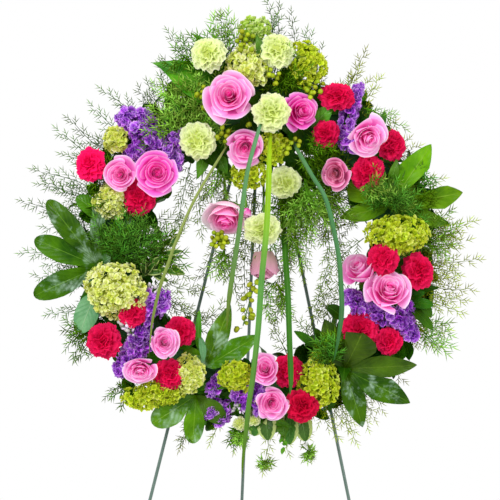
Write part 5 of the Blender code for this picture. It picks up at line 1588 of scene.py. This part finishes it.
# name: (finish, tufts), each tuft with (root, bearing, spread, length, how many, length of the side branches)
TUFTS = {
    "light_tufts": ("light_fern", [
        ((254, 78, 108), 70, 160, 30, 4, 15), ((-54, 350, 85), 98, 44, 74, 4, 16),
        ((-130, 225, 85), 125, 150, 78, 9, 28), ((-110, 260, 85), 110, 130, 64, 6, 26),
        ((-150, 200, 85), 75, 120, 55, 7, 24), ((-100, 215, 90), 40, 140, 45, 7, 22),
        ((204, 122, 115), -30, 100, 28, 3, 12), ((300, 10, 60), 10, 90, 70, 5, 26),
        ((300, -140, 50), -20, 80, 60, 4, 26), ((60, 320, 90), 60, 120, 40, 6, 20),
        ((130, 110, 80), -90, 80, 60, 5, 24), ((15, -392, 70), -90, 150, 8, 4, 5),
        ((94, -374, 70), -40, 150, 10, 4, 6), ((66, 105, 66), -90, 60, 75, 8, 22),
        ((84, 110, 66), -80, 70, 80, 8, 24), ((54, 60, 60), -95, 50, 80, 6, 22),
        ((-58, 0, 60), -100, 60, 45, 5, 20), ((36, -60, 60), -90, 50, 60, 5, 20),
        ((-30, -338, 75), -95, 70, 16, 3, 10), ((-70, 150, 80), -100, 80, 50, 3, 22),
        ((90, 130, 80), -80, 80, 80, 6, 28),
    ]),
    "blue_tufts": ("blue_fern", [
        ((-262, -20, 88), 70, 150, 74, 7, 30), ((-235, 10, 88), 40, 120, 60, 5, 28),
        ((-250, -10, 106), 65, 120, 52, 6, 24), ((-216, 4, 100), 60, 90, 44, 4, 22),
        ((240, 80, 100), 100, 150, 38, 8, 20), ((256, 60, 92), 20, 90, 45, 5, 20),
        ((252, 82, 112), 60, 150, 26, 5, 15), ((296, 120, 80), 30, 90, 30, 3, 14),
        ((142, -208, 100), 125, 100, 40, 7, 18),
    ]),
    "dark_tufts": ("fern", [
        ((-250, 50, 80), 100, 120, 45, 6, 26), ((-200, -10, 75), 10, 110, 60, 7, 26),
        ((110, 150, 80), 20, 150, 50, 8, 24), ((90, 190, 85), -40, 120, 45, 6, 22),
        ((150, -206, 90), 135, 90, 44, 6, 20), ((-160, 180, 70), 160, 100, 50, 5, 24),
        ((50, 335, 100), -50, 120, 36, 7, 16), ((290, 80, 80), 20, 70, 40, 3, 18),
        ((-90, 330, 80), 120, 110, 65, 7, 28), ((-250, 130, 70), 170, 100, 50, 5, 24),
        ((85, 160, 55), -75, 90, 85, 9, 30), ((58, 135, 50), -92, 60, 75, 6, 28),
        ((120, 140, 60), -60, 70, 70, 6, 26), ((65, 300, 85), 150, 90, 40, 5, 22),
        ((-225, -250, 60), -150, 70, 36, 3, 16), ((-34, -330, 65), -100, 60, 22, 4, 10),
        ((-290, -150, 65), 200, 90, 55, 6, 24),
    ]),
}


def add_inner_spray(maker, rng, root, tip, reach):
    add_fern(maker, rng, seen_at(*root), seen_at(*tip), reach / MM)


def build_ferns():
    for name, (finish, coarse, sprays_each, sprays) in OUTER_SPRAYS.items():
        maker = Maker()
        rng = randomness(name)
        needle, thickness, gap = 0.012 * coarse, 0.00105 * coarse, 0.0031 * coarse
        for x, y, z, reach in sprays:
            tip = seen_at(x, y, z)
            beside = (rng.choice((-1, 1)) * rng.uniform(0.05, 0.14), rng.uniform(0.78, 0.96))
            for swing, share in ((0.0, 1.0), beside)[:sprays_each]:
                angle = atan2(tip[1], tip[0]) + swing
                root = polar(FERN_ROOT, angle, FERN_ROOT_HEIGHT)
                end = polar(hypot(tip[0], tip[1]) * share, angle, tip[2] * share)
                add_fern(maker, rng, root, end, reach / MM, needle, thickness, gap)
        replaces = ["fern_collar"] if name == "left_fern_sprays" else []
        add_piece(name, maker, [finish], replaces)
    build_groups(INNER_SPRAYS, add_inner_spray)
    build_groups(TUFTS, add_tuft)


# ---- The stand and the ring ----
def dress_frame():
    """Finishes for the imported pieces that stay."""
    paint = wire_material("green_wire_paint", (0.07, 0.12, 0.095), (0.19, 0.23, 0.2), 0.42)
    hub_paint = wire_material("green_hub_paint", (0.07, 0.15, 0.1), (0.18, 0.24, 0.19), 0.4)
    tie = wire_material("enamelled_tie_wire", (0.06, 0.17, 0.06), (0.16, 0.24, 0.14), 0.38)
    pin = wire_material("steel_pin", (0.42, 0.43, 0.42), (0.3, 0.3, 0.28), 0.35)
    finishes = {
        "front_left_leg": paint, "front_right_leg": paint, "rear_leg": paint, "cross_brace": paint,
        "wreath_hook": paint, "apex_hub": hub_paint, "hinge_pin": pin, "tie_wire_left": tie,
        "tie_wire_right": tie, "backing_tray": tray_material(), "foam_ring": foam_material(),
    }
    for node, material in finishes.items():
        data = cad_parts[node].data
        data.materials.clear()
        data.materials.append(material)


# ---- Floor, light and camera ----
def add_light(name, place, size, power, aim=(0.0, 0.0, 1.05)):
    data = bpy.data.lights.new(name, "AREA")
    data.size = size
    data.energy = power
    light = bpy.data.objects.new(name, data)
    light.location = place
    light.rotation_euler = (Vector(aim) - Vector(place)).to_track_quat("-Z", "Y").to_euler()
    bpy.context.scene.collection.objects.link(light)


def build_studio():
    world = bpy.data.worlds.new("studio")
    world.use_nodes = True
    background = world.node_tree.nodes["Background"]
    background.inputs["Color"].default_value = (1, 1, 1, 1)
    background.inputs["Strength"].default_value = 1.0
    bpy.context.scene.world = world
    bpy.context.scene.view_settings.view_transform = "Standard"
    add_light("key_light", (-1.5, -2.4, 2.9), 0.9, 75)
    add_light("side_light", (2.2, -1.8, 1.9), 0.7, 28)

    steps = 96
    floor = bpy.data.meshes.new("floor")
    rim = [(1.8 * cos(2 * pi * k / steps), 1.8 * sin(2 * pi * k / steps), 0.0) for k in range(steps)]
    floor.from_pydata(rim, [], [range(steps)])
    shade = Shade("pale_floor")
    colour = shade.mix(shade.noise(3, 2), (0.86, 0.86, 0.85), (0.9, 0.9, 0.89))
    floor.materials.append(shade.finish(colour, 0.7, 0.2))
    piece = bpy.data.objects.new("floor", floor)
    bpy.context.scene.collection.objects.link(piece)


def build_camera():
    """A camera in front of the ring, a little to the left of its axis and rolled with it."""
    data = bpy.data.cameras.new("camera")
    data.lens = LENS
    camera = bpy.data.objects.new("camera", data)
    back = unit(EYE - AIM)
    across = unit(np.cross((0.0, 1.0, 0.0), back))
    turned = Matrix(np.stack([across, np.cross(back, across), back], 1).tolist()).to_4x4()
    camera.matrix_world = WREATH @ Matrix.Translation(EYE.tolist()) @ turned
    bpy.context.scene.collection.objects.link(camera)
    bpy.context.scene.camera = camera


build_camera()
build_studio()
dress_frame()
build_roses()
build_carnations()
build_hydrangeas()
build_stocks()
build_extra_flowers()
build_berries()
build_leaves()
build_greenery()
build_blades()
build_ferns()
